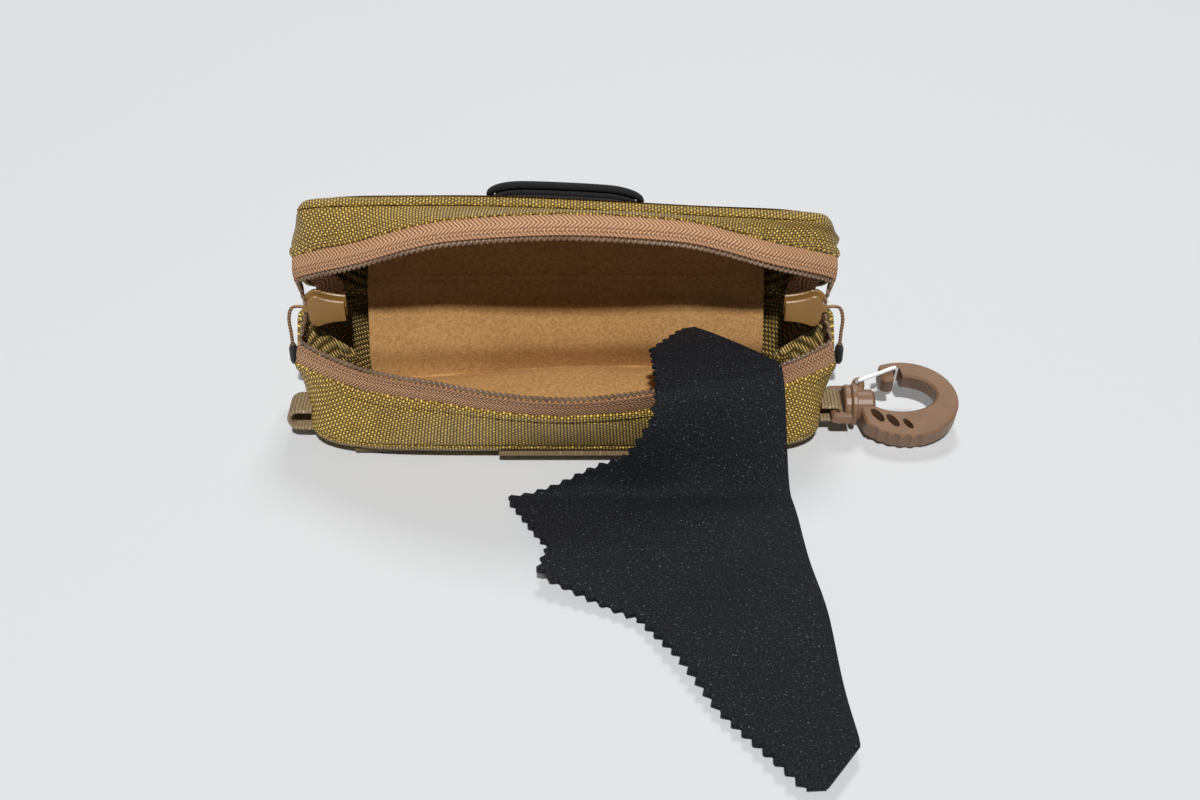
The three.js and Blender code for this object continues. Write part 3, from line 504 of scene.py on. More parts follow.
# black pile: hairs over larger clumps
def blackClothLook(name, hairScale, dark, light):
    look, wire = newLook(name)
    place = objectPoint(wire)
    hair, clump = wire.speckle(place, hairScale, 4.0, 0.75), wire.speckle(place, hairScale / 5, 2.0)
    tone = hair.between(0.52, 0.75) * 0.8 + clump * 0.12
    return surface(look, wire, tone.blendColours(dark, light), 0.95, hair, 0.0004, 0.8)


# pull in metres: top of the tip, fade to the cord, and how tightly the cord is braided
pull = {"tipTop": 0.0208, "fade": 0.0004, "braid": 5200}


# a tan braided cord down to a black moulded tip; the braid's grooves take the shade colour as painted shade
def pullLook(name, cord, shade, tip):
    look, wire = newLook(name)
    height = axisOf(objectPoint(wire), 2)
    braid = (height * pull["braid"]).math("SINE") * 0.5 + 0.5
    isCord = height.between(pull["tipTop"], pull["tipTop"] + pull["fade"])
    colour = isCord.blendColours(tip, braid.blendColours(shade, cord))
    return surface(look, wire, colour, 0.5 + isCord * 0.35, braid * isCord, 0.0002, 0.7)


# tones are linear colours, pitches are millimetres, grain and hair are noise scales
# for both nylons, dark is the painted shade between yarns and light is the painted highlight on the crowns
khaki = nylonLook("khakiNylon", dark=(0.05, 0.027, 0.002, 1), light=(1.0, 0.7, 0.16, 1),
                  weft=(0.42, 0.24, 0.022, 1))
olive = nylonLook("nylonInside", dark=(0.03, 0.018, 0.002, 1), light=(0.8, 0.54, 0.17, 1),
                  weft=(0.14, 0.09, 0.013, 1), solid=True)
tapeBrown = tapeLook("zipTape", dark=(0.18, 0.081, 0.038, 1), light=(0.76, 0.437, 0.233, 1),
                     edge=(0.3, 0.13, 0.065, 1))
coilBrown = plasticLook("zipCoil", dark=(0.12, 0.07, 0.04, 1), light=(0.2, 0.125, 0.075, 1),
                        roughness=0.4, grain=900.0)
fleece = fleeceLook("fleeceLining", dark=(0.25, 0.115, 0.028, 1), light=(0.56, 0.32, 0.12, 1))
webTan = webbingLook("tanWebbing", ribPitch=1.1, dark=(0.13, 0.085, 0.04, 1),
                     light=(0.38, 0.27, 0.15, 1), fleck=(0.62, 0.53, 0.38, 1))
sliderTan = plasticLook("sliderPaint", dark=(0.225, 0.115, 0.026, 1), light=(0.275, 0.142, 0.035, 1),
                        roughness=0.42, grain=600.0)
hookBrown = plasticLook("hookPlastic", dark=(0.165, 0.087, 0.044, 1), light=(0.2, 0.109, 0.057, 1),
                        roughness=0.42, grain=1200.0)
gateSteel = steelLook("gateSteel", dark=(0.7, 0.7, 0.69, 1), light=(0.88, 0.88, 0.87, 1))
pullCord = pullLook("pullCord", cord=(0.34, 0.2, 0.11, 1), shade=(0.12, 0.06, 0.03, 1),
                    tip=(0.009, 0.009, 0.01, 1))
snapBlack = plasticLook("snapPaint", dark=(0.006, 0.006, 0.006, 1), light=(0.012, 0.012, 0.012, 1),
                        roughness=0.3, grain=500.0, coat=0.3)
# spark is the colour of the painted glints on the cloth
microfibre = microfibreLook("microfibreCloth", ribPitch=0.62, dark=(0.0005, 0.0006, 0.001, 1),
                            light=(0.024, 0.026, 0.033, 1), spark=(0.2, 0.23, 0.29, 1))
loopBlack = blackClothLook("loopPile", hairScale=1800.0, dark=(0.001, 0.001, 0.0014, 1),
                           light=(0.04, 0.042, 0.048, 1))
twillBlack = blackClothLook("patchTwill", hairScale=2600.0, dark=(0.001, 0.001, 0.0014, 1),
                            light=(0.026, 0.027, 0.031, 1))
print("materials ready:", len(bpy.data.materials))

for node, look in (
    ("slider_left", sliderTan), ("slider_right", sliderTan),
    ("pull_left", pullCord), ("pull_right", pullCord),
    ("swivel_eye", hookBrown), ("hook_body", hookBrown), ("wire_gate", gateSteel),
    ("snap_left", snapBlack), ("snap_right", snapBlack),
):
    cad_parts[node].data.materials.clear()
    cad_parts[node].data.materials.append(look)
print("hard nodes dressed")

# walls: padded nylon between the panel's edge and the zip tape
wall = {
    "bulge": 1.2, "skin": 1.9, "waves": 0.35, "waveLength": 34, "waveSeed": 4,
    "outerSteps": 44, "edgeSteps": 5, "innerSteps": 30,
    # turned hem by the tape, and the stitched groove below it
    "hem": 2.7, "hemRise": 0.4, "hemStart": 0.3, "hemFade": 0.8,
    "groove": 0.22, "grooveAt": 0.4, "grooveWidth": 0.45,
    # where each wall starts: height of the tray's foot, and how far the lid's lies below its top
    "trayFoot": 7.0, "lidFoot": 4.0,
    # past each end the edge climbs to its height at the hinge: arc where it starts, length
    "trayClimb": (4, 7.5), "lidClimb": (5.5, 11.3), "trayHingeZ": 34.0, "lidHingeZ": 36.0,
    # flatter where the pull hangs: share, arc past the end, reach along
    "pullFlat": (0.8, 12.5, 5),
    # folds inside the ends: arc past the end, reach along, share of the height, reach up, depth
    "folds": [(12, 7, 0.46, 0.3, 15), (3, 4.6, 0.4, 0.28, 8), (-7, 6, 0.32, 0.26, 5)],
    # right lid corner: arc past the end, share of the height, reach along, reach up, size
    "puckers": [(-13, 0.16, 5.0, 0.28, 1.4), (-1.5, 0.36, 5.5, 0.34, 1.1), (6, 0.12, 3.6, 0.28, 1.0),
                (1, 0.8, 6, 0.17, -0.9), (-2, 1.0, 7, 0.16, 0.4)],
    # the weave's map in heights of the wall: step over the edge, start and end of the inner side
    "mapOver": 0.02, "mapInner": 1.2, "mapEnd": 2.3,
}


# straight lines from the lower to the upper outline, pushed out along the outline's normal
def wallPiece(low, lowZ, high, highZ, hingeZ, climb, puckers=(), folds=()):
    lowRing, lowNormal = outlineRing(low)
    highRing, highNormal = outlineRing(high)
    normal = unit(lowNormal + highNormal)
    past = pastEnd(highRing)
    rise = smoothStep((past - climb[0]) / climb[1])
    topZ = (highZ - dipAt(highRing[:, 0])) * (1 - rise) + hingeZ * rise
    startZ = lowZ(lowRing[:, 1])
    height = np.linalg.norm(np.column_stack([highRing - lowRing, topZ - startZ]), axis=1)
    # outer face with a bulge, a stitched groove and a turned hem; then over the edge and down inside
    outer, inner = np.linspace(0, 1, wall["outerSteps"]), np.linspace(1, 0, wall["innerSteps"])
    over = np.linspace(0, np.pi, wall["edgeSteps"] + 2)[1:-1]
    below = (1 - outer[None]) * height[:, None]
    hem = wall["hemRise"] * smoothStep((wall["hem"] + wall["hemStart"] - below) / wall["hemFade"])
    hem -= wall["groove"] * np.exp(-((below - wall["hem"] - wall["grooveAt"]) / wall["grooveWidth"]) ** 2)
    swell = wall["bulge"] * np.sin(np.pi * outer) ** 0.5
    flatShare, flatArc, flatReach = wall["pullFlat"]
    beside = 1 - flatShare * np.exp(-((past - flatArc) / flatReach) ** 2)
    outerOut = swell * beside[:, None] + hem * (1 - rise)[:, None]
    for arc, share, reachAlong, reachUp, size in puckers:
        near = ((past - arc)[:, None] / reachAlong) ** 2 + ((outer - share)[None] / reachUp) ** 2
        outerOut += size * np.exp(-near) * (highRing[:, :1] > 0)
    edge = outerOut[:, -1:]
    middle, radius = (edge - wall["skin"]) / 2, (edge + wall["skin"]) / 2
    overOut = middle + radius * np.cos(over)
    innerOut = np.tile(-wall["skin"] + 0.5 * wall["bulge"] * np.sin(np.pi * inner), (len(past), 1))
    for arc, reachAlong, share, reachUp, depth in folds:
        near = ((past - arc)[:, None] / reachAlong) ** 2 + ((inner - share)[None] / reachUp) ** 2
        innerOut -= depth * np.exp(-near)
    out = np.hstack([outerOut, overOut, innerOut])
    share = np.concatenate([outer, np.ones(len(over)), inner])
    sign = np.sign(highZ - startZ.mean())
    overLift = 0.5 * sign * radius * np.sin(over)
    lift = np.hstack([0 * outerOut, overLift, 0 * innerOut])
    flat = ruled(lowRing, highRing, share)
    z = startZ[:, None] + (topZ - startZ)[:, None] * share[None] + lift
    points = withZ(flat, z)
    waves = softWaves(points, wall["waveLength"], wall["waveSeed"])
    out = out + wall["waves"] * waves * np.sin(np.pi * share)
    points[..., :2] += normal[:, None] * out[..., None]
    # a whole number of weave cells goes round, so that the map's seam doesn't show
    run = runAlong(np.vstack([highRing, highRing[:1]]))
    cells = 2 * nylon["pitch"]
    run = run * (round(run[-1] / cells) * cells / run[-1])
    across = np.concatenate([outer, 1 + over * wall["mapOver"], wall["mapInner"] + (1 - inner)])
    uv = np.stack([np.broadcast_to(run[:, None], (len(run), len(across) + 1)),
                   np.append(across, wall["mapEnd"])[None] * np.append(height, height[0])[:, None]], -1)
    return points, uv


# the columns after the middle of the edge show the inner side of the nylon
def innerSide(piece, points):
    piece.data.materials.append(olive)
    last = wall["outerSteps"] + wall["edgeSteps"] // 2
    column = (np.arange(points.shape[1]) > last).astype(np.int32)
    piece.data.polygons.foreach_set("material_index", np.tile(column, len(points)))


points, uv = wallPiece(base, lambda y: np.full(len(y), wall["trayFoot"]), seam, case["seamZ"],
                       wall["trayHingeZ"], wall["trayClimb"], folds=wall["folds"])
trayWall = setUp(skin("trayWall", points, uv, wrapRows=True), khaki, "tray", "khaki_nylon", "tray_wall")
innerSide(trayWall, points)
points, uv = wallPiece(lidTop, lambda y: lidTopZ(y) - wall["lidFoot"], lidSeam, case["lidSeamZ"],
                       wall["lidHingeZ"], wall["lidClimb"], puckers=wall["puckers"])
lidWall = setUp(skin("lidWall", openLid(points), uv, wrapRows=True), khaki, "lid", "khaki_nylon", "lid_wall")
innerSide(lidWall, points)
print("walls sewn")

# panels: the flat top and bottom with a turned edge
panel = {
    "foot": 3, "sag": 0.12, "sagLength": 40, "sagSeed": 8, "discs": [0.03, 0.2, 0.4, 0.6, 0.78, 0.9],
    # the turned edge, step by step: how far out, and how far in from the outer face
    "turned": [(-3.4, 0.05), (-2.2, 0.3), (-1.2, 0.85), (-0.45, 1.8), (0, 2.6), (0.32, 3.2), (0.12, 3.7),
               (-0.9, 3.9), (-2.2, 3.7), (-2.5, 2.6)],
}


# rings scaled from the middle outwards, round the turned edge and back to the middle inside
def panelPiece(form, heightAt):
    ring, normal = outlineRing(form)
    discs = np.array(panel["discs"])
    edgeOut, edgeLift = np.array(panel["turned"]).T
    # nothing over the outer discs, the turned edge, then its last value over the inner discs
    fromEdge = lambda edge: np.concatenate([0 * discs, edge, 0 * discs + edge[-1]])
    scale = np.concatenate([discs, np.ones(len(edgeOut)), discs[::-1]])
    out, lift = fromEdge(edgeOut), fromEdge(edgeLift)
    middle = np.array([0, case["endY"]])
    discPoints = middle + (ring[:, None] - middle) * scale[None, :, None]
    flat = discPoints + normal[:, None] * out[None, :, None]
    z = heightAt(lift[None], flat[..., 1])
    points = withZ(flat, z)
    points[..., 2] += panel["sag"] * softWaves(points, panel["sagLength"], panel["sagSeed"]) * (scale < 1)
    # the weave runs on round the turned edge by its true length
    edgeRun = edgeOut[0] + runAlong(np.stack([edgeOut, edgeLift], 1))
    weave = discPoints + normal[:, None] * fromEdge(edgeRun)[None, :, None]
    return points, np.concatenate([weave, weave[:1]])


points, uv = panelPiece(base, lambda lift, y: panel["foot"] + lift + 0 * y)
trayBase = skin("trayBase", points, uv, wrapRows=True, wrapColumns=False)
setUp(trayBase, khaki, "tray", "khaki_nylon", "base_panel", "base_board")
points, uv = panelPiece(lidTop, lambda lift, y: lidTopZ(y) - lift)
lidPanel = skin("lidPanel", openLid(points), uv, wrapRows=True, wrapColumns=False)
setUp(lidPanel, khaki, "lid", "khaki_nylon", "lid_panel", "lid_board")
print("panels sewn")

# zip: tapes and coils along the open stretch
zipper = {
    "outerSteps": 16, "innerSteps": 10,
    "tuck": 0.1, "skin": 0.85, "crown": 0.25, "sunk": 0.15, "hemCover": 0.3,
    # below the hem the tape goes under: depth, and the share of its width that it takes
    "under": (1.1, 0.12),
    "coilPitch": 1.95, "coilWire": 0.56, "coilReach": 0.8, "turnPoints": 12, "wireSides": 6, "wireMap": 3,
    # height of each tape's toothed edge; lower and upper height and inset of each coil
    "trayTapeZ": 32.9, "lidTapeZ": 37.1, "trayCoil": (33.0, 34.85, 0.95), "lidCoil": (35.5, 37.35, 1.5),
    # the toothed edge of each tape in the slider's mouth
    "trayMouth": (84.6, 8, 39.5), "lidMouth": (84.6, 8, 40.5),
    # arc past the end where the sewn edge turns to the slider, and how far the toothed edge is ahead of it
    "leave": 4, "ahead": 6,
}


# the points of an outline that the open zip covers, from one end round the front to the other
def zipStations(ring):
    past = pastEnd(ring)
    count = int((past[: case["frontSteps"] + case["backSteps"]] < case["zipPast"]).sum()) - 1
    return np.arange(-count, count + 1) % len(ring)


# the same place at the left or right end, by the sign of x
def sideOf(x):
    return np.stack([np.sign(x), np.ones(len(x)), np.ones(len(x))], 1)


# past each end the points move over to the mouth of the slider, the toothed edge first
def intoSlider(points, past, lead, mouth):
    begin = zipper["leave"] - zipper["ahead"] * lead
    return smoothStep((past - begin) / (case["zipPast"] - begin))[..., None] * (mouth - points)


# a woven tape between two outlines, tucked under the hem below and rounded at its tooth edge
def tapePiece(low, lowZ, highZ, place, mouth):
    lowRing, lowNormal = outlineRing(low)
    highRing, highNormal = outlineRing(rim)
    stations = zipStations(highRing)
    normal = unit((lowNormal + highNormal)[stations])
    outer = np.linspace(-zipper["tuck"], 1, zipper["outerSteps"])
    inner = np.linspace(1, -zipper["tuck"], zipper["innerSteps"])
    share = np.concatenate([outer, inner])
    onTape = np.clip(share, 0, 1)
    underDepth, underReach = zipper["under"]
    under = underDepth * smoothStep(-share / underReach)
    back = np.repeat([0, zipper["skin"]], [len(outer), len(inner)])
    out = zipper["crown"] * np.sin(np.pi * onTape) - zipper["sunk"] - under - back
    lowLine, highLine = lowRing[stations], highRing[stations]
    flat = ruled(lowLine, highLine, share) + normal[:, None] * out[None, :, None]
    z = lowZ + (highZ - lowZ) * share[None] - dipAt(highLine[:, 0])[:, None]
    points = place(withZ(flat, z))
    edge = np.array(mouth, float) * sideOf(highLine[:, 0])[:, None]
    away = unit(points[:, :1] - edge) * case["tapeWidth"]
    target = edge + away * (1 - onTape)[:, None] + np.outer(out, [0, 1, 0])
    points = points + intoSlider(points, pastEnd(highRing)[stations, None], onTape, target)
    return points, gridUv(runAlong(highLine), np.append(share, share[0]) * case["tapeWidth"])


# a wound coil: a round wire that turns about the tape's edge, once for each tooth
def coilPiece(lowZ, highZ, inset, phase, place, mouth):
    ring, normal = outlineRing(rim)
    stations = zipStations(ring)
    line, away = ring[stations] - normal[stations] * inset, normal[stations]
    run = runAlong(line)
    turns = round(run[-1] / zipper["coilPitch"])
    want = np.linspace(0, run[-1], turns * zipper["turnPoints"] + 1)
    x, y, awayX, awayY = (np.interp(want, run, values) for values in (*line.T, *away.T))
    past = np.interp(want, run, pastEnd(ring)[stations])
    middleZ = (lowZ + highZ) / 2 - dipAt(x)
    shift = intoSlider(place(np.stack([x, y, middleZ], 1)), past, 1, np.array(mouth, float) * sideOf(x))
    angle = 2 * np.pi * (np.linspace(0, turns, len(want)) + phase)
    sideways = (zipper["coilReach"] - zipper["coilWire"]) * np.cos(angle)
    upright = ((highZ - lowZ) / 2 - zipper["coilWire"]) * np.sin(angle)
    path = np.stack([x + awayX * sideways, y + awayY * sideways, middleZ + upright], 1)
    along = unit(np.gradient(path, axis=0))
    out = np.stack([awayX * np.cos(angle), awayY * np.cos(angle), np.sin(angle)], 1)
    out = unit(out - along * (out * along).sum(1, keepdims=True))
    turn = np.linspace(0, 2 * np.pi, zipper["wireSides"] + 1)[:-1]
    section = zipper["coilWire"] * np.stack([np.cos(turn), np.sin(turn)], 1)
    grid = place(sweepGrid(path, out, np.cross(along, out), section)) + shift[:, None]
    return grid, gridUv(want, np.linspace(0, zipper["wireMap"], zipper["wireSides"] + 1))


def inPlace(points):
    return points


points, uv = tapePiece(seam, case["seamZ"] + zipper["hemCover"], zipper["trayTapeZ"],
                       inPlace, zipper["trayMouth"])
setUp(skin("trayTape", points, uv), tapeBrown, "tray", "zip_tape", "tray_zip_tape")
points, uv = tapePiece(lidSeam, case["lidSeamZ"] - zipper["hemCover"], zipper["lidTapeZ"],
                       openLid, zipper["lidMouth"])
lidTape = setUp(skin("lidTape", points, uv), tapeBrown, None, "zip_tape", "lid_zip_tape")
# the lid's teeth stand half a pitch away from the tray's
points, uv = coilPiece(*zipper["trayCoil"], 0, inPlace, zipper["trayMouth"])
setUp(skin("trayCoil", points, uv), coilBrown, "tray", "zip_coil", "tray_zip_coil")
points, uv = coilPiece(*zipper["lidCoil"], 0.5, openLid, zipper["lidMouth"])
lidCoil = setUp(skin("lidCoil", points, uv), coilBrown, None, "zip_coil", "lid_zip_coil")
for piece in (lidTape, lidCoil):
    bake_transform(piece)
print("zip sewn")

# linings: one fleece sheet down the front, over the panel and up the back
lining = {
    "half": 66, "skin": 1.3, "samples": 60, "columns": 90, "mapRun": 170,
    "fold": 4.5, "waves": 0.35, "waveLength": 46, "waveSeed": 3,
    # how far the sheet stands in from the outline: at its front edge, at the front foot, off back and floor
    "inset": 2, "edgeIn": 1.8, "footIn": 3.6, "off": 1.4, "belly": 1.5, "crease": 0.2,
    # towards the left the foot of the back wall comes forward: how far, start and length along X
    "forward": 2.6, "forwardStart": 10, "forwardLength": 70,
    "floorZ": 7.3, "lidDrop": 4.3, "seamTuck": 1,
    # the tray's sheet has a pillow of padding, and runs on over the hinge by these steps (y, z)
    "tray": {"hingeZ": 33.0, "clear": 3.1, "frontClear": 1.1, "pillow": 2.3,
             "over": [(0.8, 2.6), (2.6, 6.4), (5.0, 9.4)]},
    "lid": {"hingeZ": 36.0, "clear": 3.1, "frontClear": 3.4},
}


# at each x a spline through points down the front, along the floor and up the back, with a skin behind it
def liningPiece(high, highZ, low, floorAt, hingeZ, clear, frontClear, pillow=0, over=()):
    x = np.linspace(-lining["half"], lining["half"], lining["columns"])
    side = np.sign(highZ - floorAt(np.array(0.0)))
    frontHigh = frontAt(high, x, lining["inset"] + frontClear) + lining["edgeIn"]
    frontLow = frontAt(low, x, lining["inset"] + frontClear) + lining["footIn"]
    back = np.minimum(backAt(low, x, clear), backAt(high, x, clear)) - lining["off"]
    middle, fold = (frontLow + back) / 2, lining["fold"]
    forward = lining["forward"] * pillow * smoothStep((lining["forwardStart"] - x) / lining["forwardLength"])
    foot = back - forward
    rest = lambda y: floorAt(y) + side * lining["off"]
    upWall = lambda share: rest(back) * (1 - share) + hingeZ * share
    crease = (foot, rest(foot) - lining["crease"] * side)
    # down the front to its foot, over the floor to the crease, then up the back
    control = [
        (frontHigh, np.full_like(x, highZ)),
        ((frontHigh + frontLow) / 2, (highZ + rest(frontLow)) / 2 + side * lining["belly"]),
        (frontLow, rest(frontLow) + side * fold), (frontLow + 1, rest(frontLow)),
        (frontLow + 1.6 * fold, rest(frontLow + fold)), (middle, rest(middle) + pillow),
        (foot - 2.4 * fold, rest(foot - 2.4 * fold) + pillow),
        (foot - 1.2 * fold, rest(foot - 1.2 * fold) + 0.9 * pillow),
        (foot - 0.35 * fold, rest(foot) + 0.15 * pillow), crease, crease,
        (back - 0.7 * pillow - 0.6 * forward, upWall(0.2)),
        (back - 1.9 * pillow - 0.3 * forward, upWall(0.45)),
        (back - 1.5 * pillow, upWall(0.64)), (back, np.full_like(x, hingeZ)),
    ]
    control += [(back + dy, np.full_like(x, hingeZ + dz)) for dy, dz in over]
    control = np.stack([np.stack(pair, -1) for pair in control], 1)
    face = np.einsum("kc,xcd->xkd", splineWeights(len(control[0]), lining["samples"]), control)
    along = np.gradient(face, axis=1)
    normal = unit(np.stack([along[..., 1], -along[..., 0]], -1) * side)
    wide = np.broadcast_to(x[:, None, None], (*face.shape[:2], 1))
    points = np.concatenate([wide, face], -1)
    soft = lining["waves"] * softWaves(points, lining["waveLength"], lining["waveSeed"])[..., None]
    faceSoft = face - normal * soft * np.sin(np.linspace(0, np.pi, lining["samples"]))[None, :, None]
    section = np.concatenate([faceSoft, (face + normal * lining["skin"])[:, ::-1]], 1)
    wide = np.broadcast_to(x[:, None, None], (*section.shape[:2], 1))
    run = np.linspace(0, lining["mapRun"], section.shape[1] + 1)
    return np.concatenate([wide, section], -1), gridUv(x, run)


points, uv = liningPiece(seam, case["seamZ"] - lining["seamTuck"], base,
                         lambda y: lining["floorZ"] + 0 * y, **lining["tray"])
trayLining = setUp(skin("trayLining", points, uv), fleece, None, "lining", "tray_lining")
points, uv = liningPiece(lidSeam, case["lidSeamZ"] + lining["seamTuck"], lidTop,
                         lambda y: lidTopZ(y) - lining["lidDrop"], **lining["lid"])
lidLining = setUp(skin("lidLining", openLid(points), uv), fleece, "lid", "lining", "lid_lining")
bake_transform(trayLining)
print("linings laid")

# spine: a nylon strip sewn over the hinge, half on each back wall
spine = {
    "reach": 13, "half": 79, "skin": 1.0, "away": 0.3, "columns": 140, "samples": 40,
    # distances from the hinge: where the strip starts to bend, and the short stretch by the hinge where it
    # turns
    "bends": (8, 3), "blend": 4,
}
opened = math.radians(case["openAngle"])
upLid = np.array([0, math.sin(opened), math.cos(opened)])
outLid = np.array([0, math.cos(opened), -math.sin(opened)])
down, behind = np.array([0, 0, -1]), np.array([0, 1, 0])
hinge = np.array([0, case["hingeY"], case["rimZ"]])
lowEnd, highEnd = hinge + behind * spine["away"], hinge + outLid * spine["away"]
far = (spine["reach"], *spine["bends"])
path = smoothPath([*(lowEnd + down * step for step in far), hinge + (outLid + behind) * spine["away"],
                   *(highEnd + upLid * step for step in far[::-1])], spine["samples"])
# across the case the strip follows the rounding of the back corners
x = np.linspace(-spine["half"], spine["half"], spine["columns"])
inward = backAt(seam, x, 0) - backAt(seam, 0, 0)
along = unit(np.gradient(path, axis=0))
normal = np.stack([0 * along[:, 0], along[:, 2], -along[:, 1]], 1)
section = np.concatenate([path + normal * spine["skin"] / 2, (path - normal * spine["skin"] / 2)[::-1]])
push = np.concatenate([normal, normal[::-1]])
points = section[None] + push[None] * inward[:, None, None]
points[..., 0] = x[:, None]
run = runAlong(path)
spineStrip = skin("spineStrip", points, gridUv(x, np.concatenate([run, run[::-1], run[:1]])))
setUp(spineStrip, khaki, None, "khaki_nylon", "spine_strip")
bisector = unit(upLid - down)
bendLow, bendHigh = ((hinge + bisector * step) * milli for step in (-spine["blend"], spine["blend"]))
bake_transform(spineStrip)

# zipped ends: behind each slider the closed zip folds inwards between the tray's and the lid's edge
zipEnd = {
    "skin": 0.9, "start": 8.6, "foldEnd": 21, "stop": 28, "rows": 56, "columns": 26,
    "inset": 1.6, "width": 14.8,
    # the fold: depth by the slider, depth where it ends, power of its round, and its lean to the back
    "depth": 13, "least": 0.6, "round": 0.8, "lean": 0.3,
    # the two sewn edges: how far inside the seams, and their heights at the hinge
    "seamTuck": 1, "trayHingeZ": 33.2, "lidHingeZ": 36.8,
}


# the edge of a wall past the end, as in the walls above
def cornerEdge(form, seamZ, hingeZ, climb, past):
    ring, normal = outlineRing(form)
    half = slice(case["frontSteps"], case["frontSteps"] + case["backSteps"])
    arc = pastEnd(ring)[half]
    x, y, nx, ny = (np.interp(past, arc, values[half]) for values in (*ring.T, *normal.T))
    rise = smoothStep((past - climb[0]) / climb[1])
    z = (seamZ - case["rimDip"]) * (1 - rise) + hingeZ * rise
    return np.stack([x - nx * zipEnd["inset"], y - ny * zipEnd["inset"], z], 1)


for name, mirror, node in (("Left", -1, "zip_end_left"), ("Right", 1, "zip_end_right")):
    past = np.linspace(zipEnd["start"], zipEnd["stop"], zipEnd["rows"])
    trayEdge = cornerEdge(seam, case["seamZ"] - zipEnd["seamTuck"], zipEnd["trayHingeZ"],
                          wall["trayClimb"], past)
    lidEdge = cornerEdge(lidSeam, case["lidSeamZ"] + zipEnd["seamTuck"], zipEnd["lidHingeZ"],
                         wall["lidClimb"], past)
    turn = np.array([mirror, 1, 1])
    trayEdge, lidEdge = trayEdge * turn, openLid(lidEdge * turn)
    share = np.linspace(0, 1, zipEnd["columns"])
    share = np.concatenate([share, share[::-1]])
    flattened = smoothStep((past - zipEnd["start"]) / (zipEnd["foldEnd"] - zipEnd["start"]))
    depth = zipEnd["depth"] * (1 - flattened) + zipEnd["least"]
    inward = np.array([-mirror, zipEnd["lean"], 0])
    skinOut = np.repeat([0, zipEnd["skin"]], zipEnd["columns"])
    fold = depth[:, None] * np.sin(np.pi * share) ** zipEnd["round"] - skinOut
    points = ruled(trayEdge, lidEdge, share) + fold[..., None] * inward
    piece = skin("zipEnd" + name, points, gridUv(past, np.append(share, 0) * zipEnd["width"]))
    setUp(piece, tapeBrown, None, "zip_tape", node)
    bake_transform(piece)
print("hinge side sewn")

# patch: loop field, backing, blank patch and an overlocked border on the lid
patch = {
    "width": 51.6, "depth": 29, "corner": 12, "y": 6, "lift": 0.3, "droop": 1.0, "faceZ": 3.7,
    "platePoints": 240, "discs": [0.04, 0.3, 0.55, 0.78, 0.93], "edgeSteps": 7, "roughLength": 3.5,
    "bead": 1.25, "beadPoints": 900, "beadSides": 16, "beadMap": 8, "thread": 0.75, "threadRise": 0.1,
}


# a rounded rectangle at equal steps: straight core pushed out by the corner radius
def roundedRing(inset, count, fine=4001):
    radius = patch["corner"] - inset
    coreX, coreY = patch["width"] / 2 - patch["corner"], patch["depth"] / 2 - patch["corner"]
    turn = np.linspace(-np.pi / 2, 1.5 * np.pi, fine)
    x = coreX * np.sign(np.round(np.cos(turn), 9)) + radius * np.cos(turn)
    y = coreY * np.sign(np.round(np.sin(turn), 9)) + radius * np.sin(turn)
    run = runAlong(np.stack([x, y], 1))
    want = np.linspace(0, run[-1], count + 1)[:-1]
    ring = np.stack([np.interp(want, run, x), np.interp(want, run, y)], 1)
    return ring, outwardNormal(ring), np.append(want, run[-1])


# from the patch's own plane to the lid: the ends droop by a cube of x, then all is tilted, set and opened
def onLid(points):
    droop = patch["droop"] * (np.abs(points[..., :1]) * 2 / patch["width"]) ** 3
    tilted = turnX(points - droop * [0, 0, 1], case["lidSlope"], 0, 0)
    return openLid(tilted + [0, patch["y"], lidTopZ(patch["y"]) + patch["lift"]])


# rings from the middle of the underside outwards, over a half round edge and back on top
def platePiece(name, inset, low, thickness, rough, seed):
    ring, normal = roundedRing(inset, patch["platePoints"])[:2]
    discs, radius = np.array(patch["discs"]), thickness / 2
    turn = np.linspace(-np.pi / 2, np.pi / 2, patch["edgeSteps"])
    scale = np.concatenate([discs, np.ones(len(turn)), discs[::-1]])
    out = np.concatenate([0 * discs, radius * np.cos(turn) - radius, 0 * discs])
    z = np.concatenate([0 * discs + low, low + radius + radius * np.sin(turn), 0 * discs + low + thickness])
    flat = ring[:, None] * scale[None, :, None] + normal[:, None] * out[None, :, None]
    points = withZ(flat, z)
    ragged = rough * softWaves(points, patch["roughLength"], seed) * (scale == 1)
    points[..., :2] += normal[:, None] * ragged[..., None]
    uv = np.concatenate([flat, flat[:1]])
    return skin(name, onLid(points), uv, wrapRows=True, wrapColumns=False)


# plates: name, node and look, then inset, lower height, thickness, raggedness of the edge and seed
for name, node, look, *form in (
    ("loopField", "loop_field", loopBlack, 0, 0, 1.6, 0.12, 5),
    ("patchBacking", "patch_backing", loopBlack, 1, 1.9, 1.5, 0.1, 6),
    ("patchFace", "patch", twillBlack, 2.8, patch["faceZ"], 1.3, 0, 7),
):
    setUp(platePiece(name, *form), look, "lid", "black_fabric", node)

# border: a bead whose radius rises and falls with each wrapped thread, slanted round the bead
ring, normal, run = roundedRing(patch["bead"], patch["beadPoints"])
turn = np.linspace(0, 2 * np.pi, patch["beadSides"] + 1)[:-1]
threads = round(run[-1] / patch["thread"])
wrap = 2 * np.pi * threads * run[:-1, None] / run[-1] + turn[None]
radius = patch["bead"] * (1 - patch["threadRise"] + patch["threadRise"] * np.abs(np.sin(wrap / 2)))
flat = ring[:, None] + normal[:, None] * (radius * np.cos(turn))[..., None]
points = withZ(flat, patch["faceZ"] + patch["bead"] + radius * np.sin(turn))
beadUv = gridUv(run, np.linspace(0, patch["beadMap"], patch["beadSides"] + 1))
patchBorder = skin("patchBorder", onLid(points), beadUv, wrapRows=True)
setUp(patchBorder, twillBlack, "lid", "black_fabric", "patch_border")
print("patch laid")

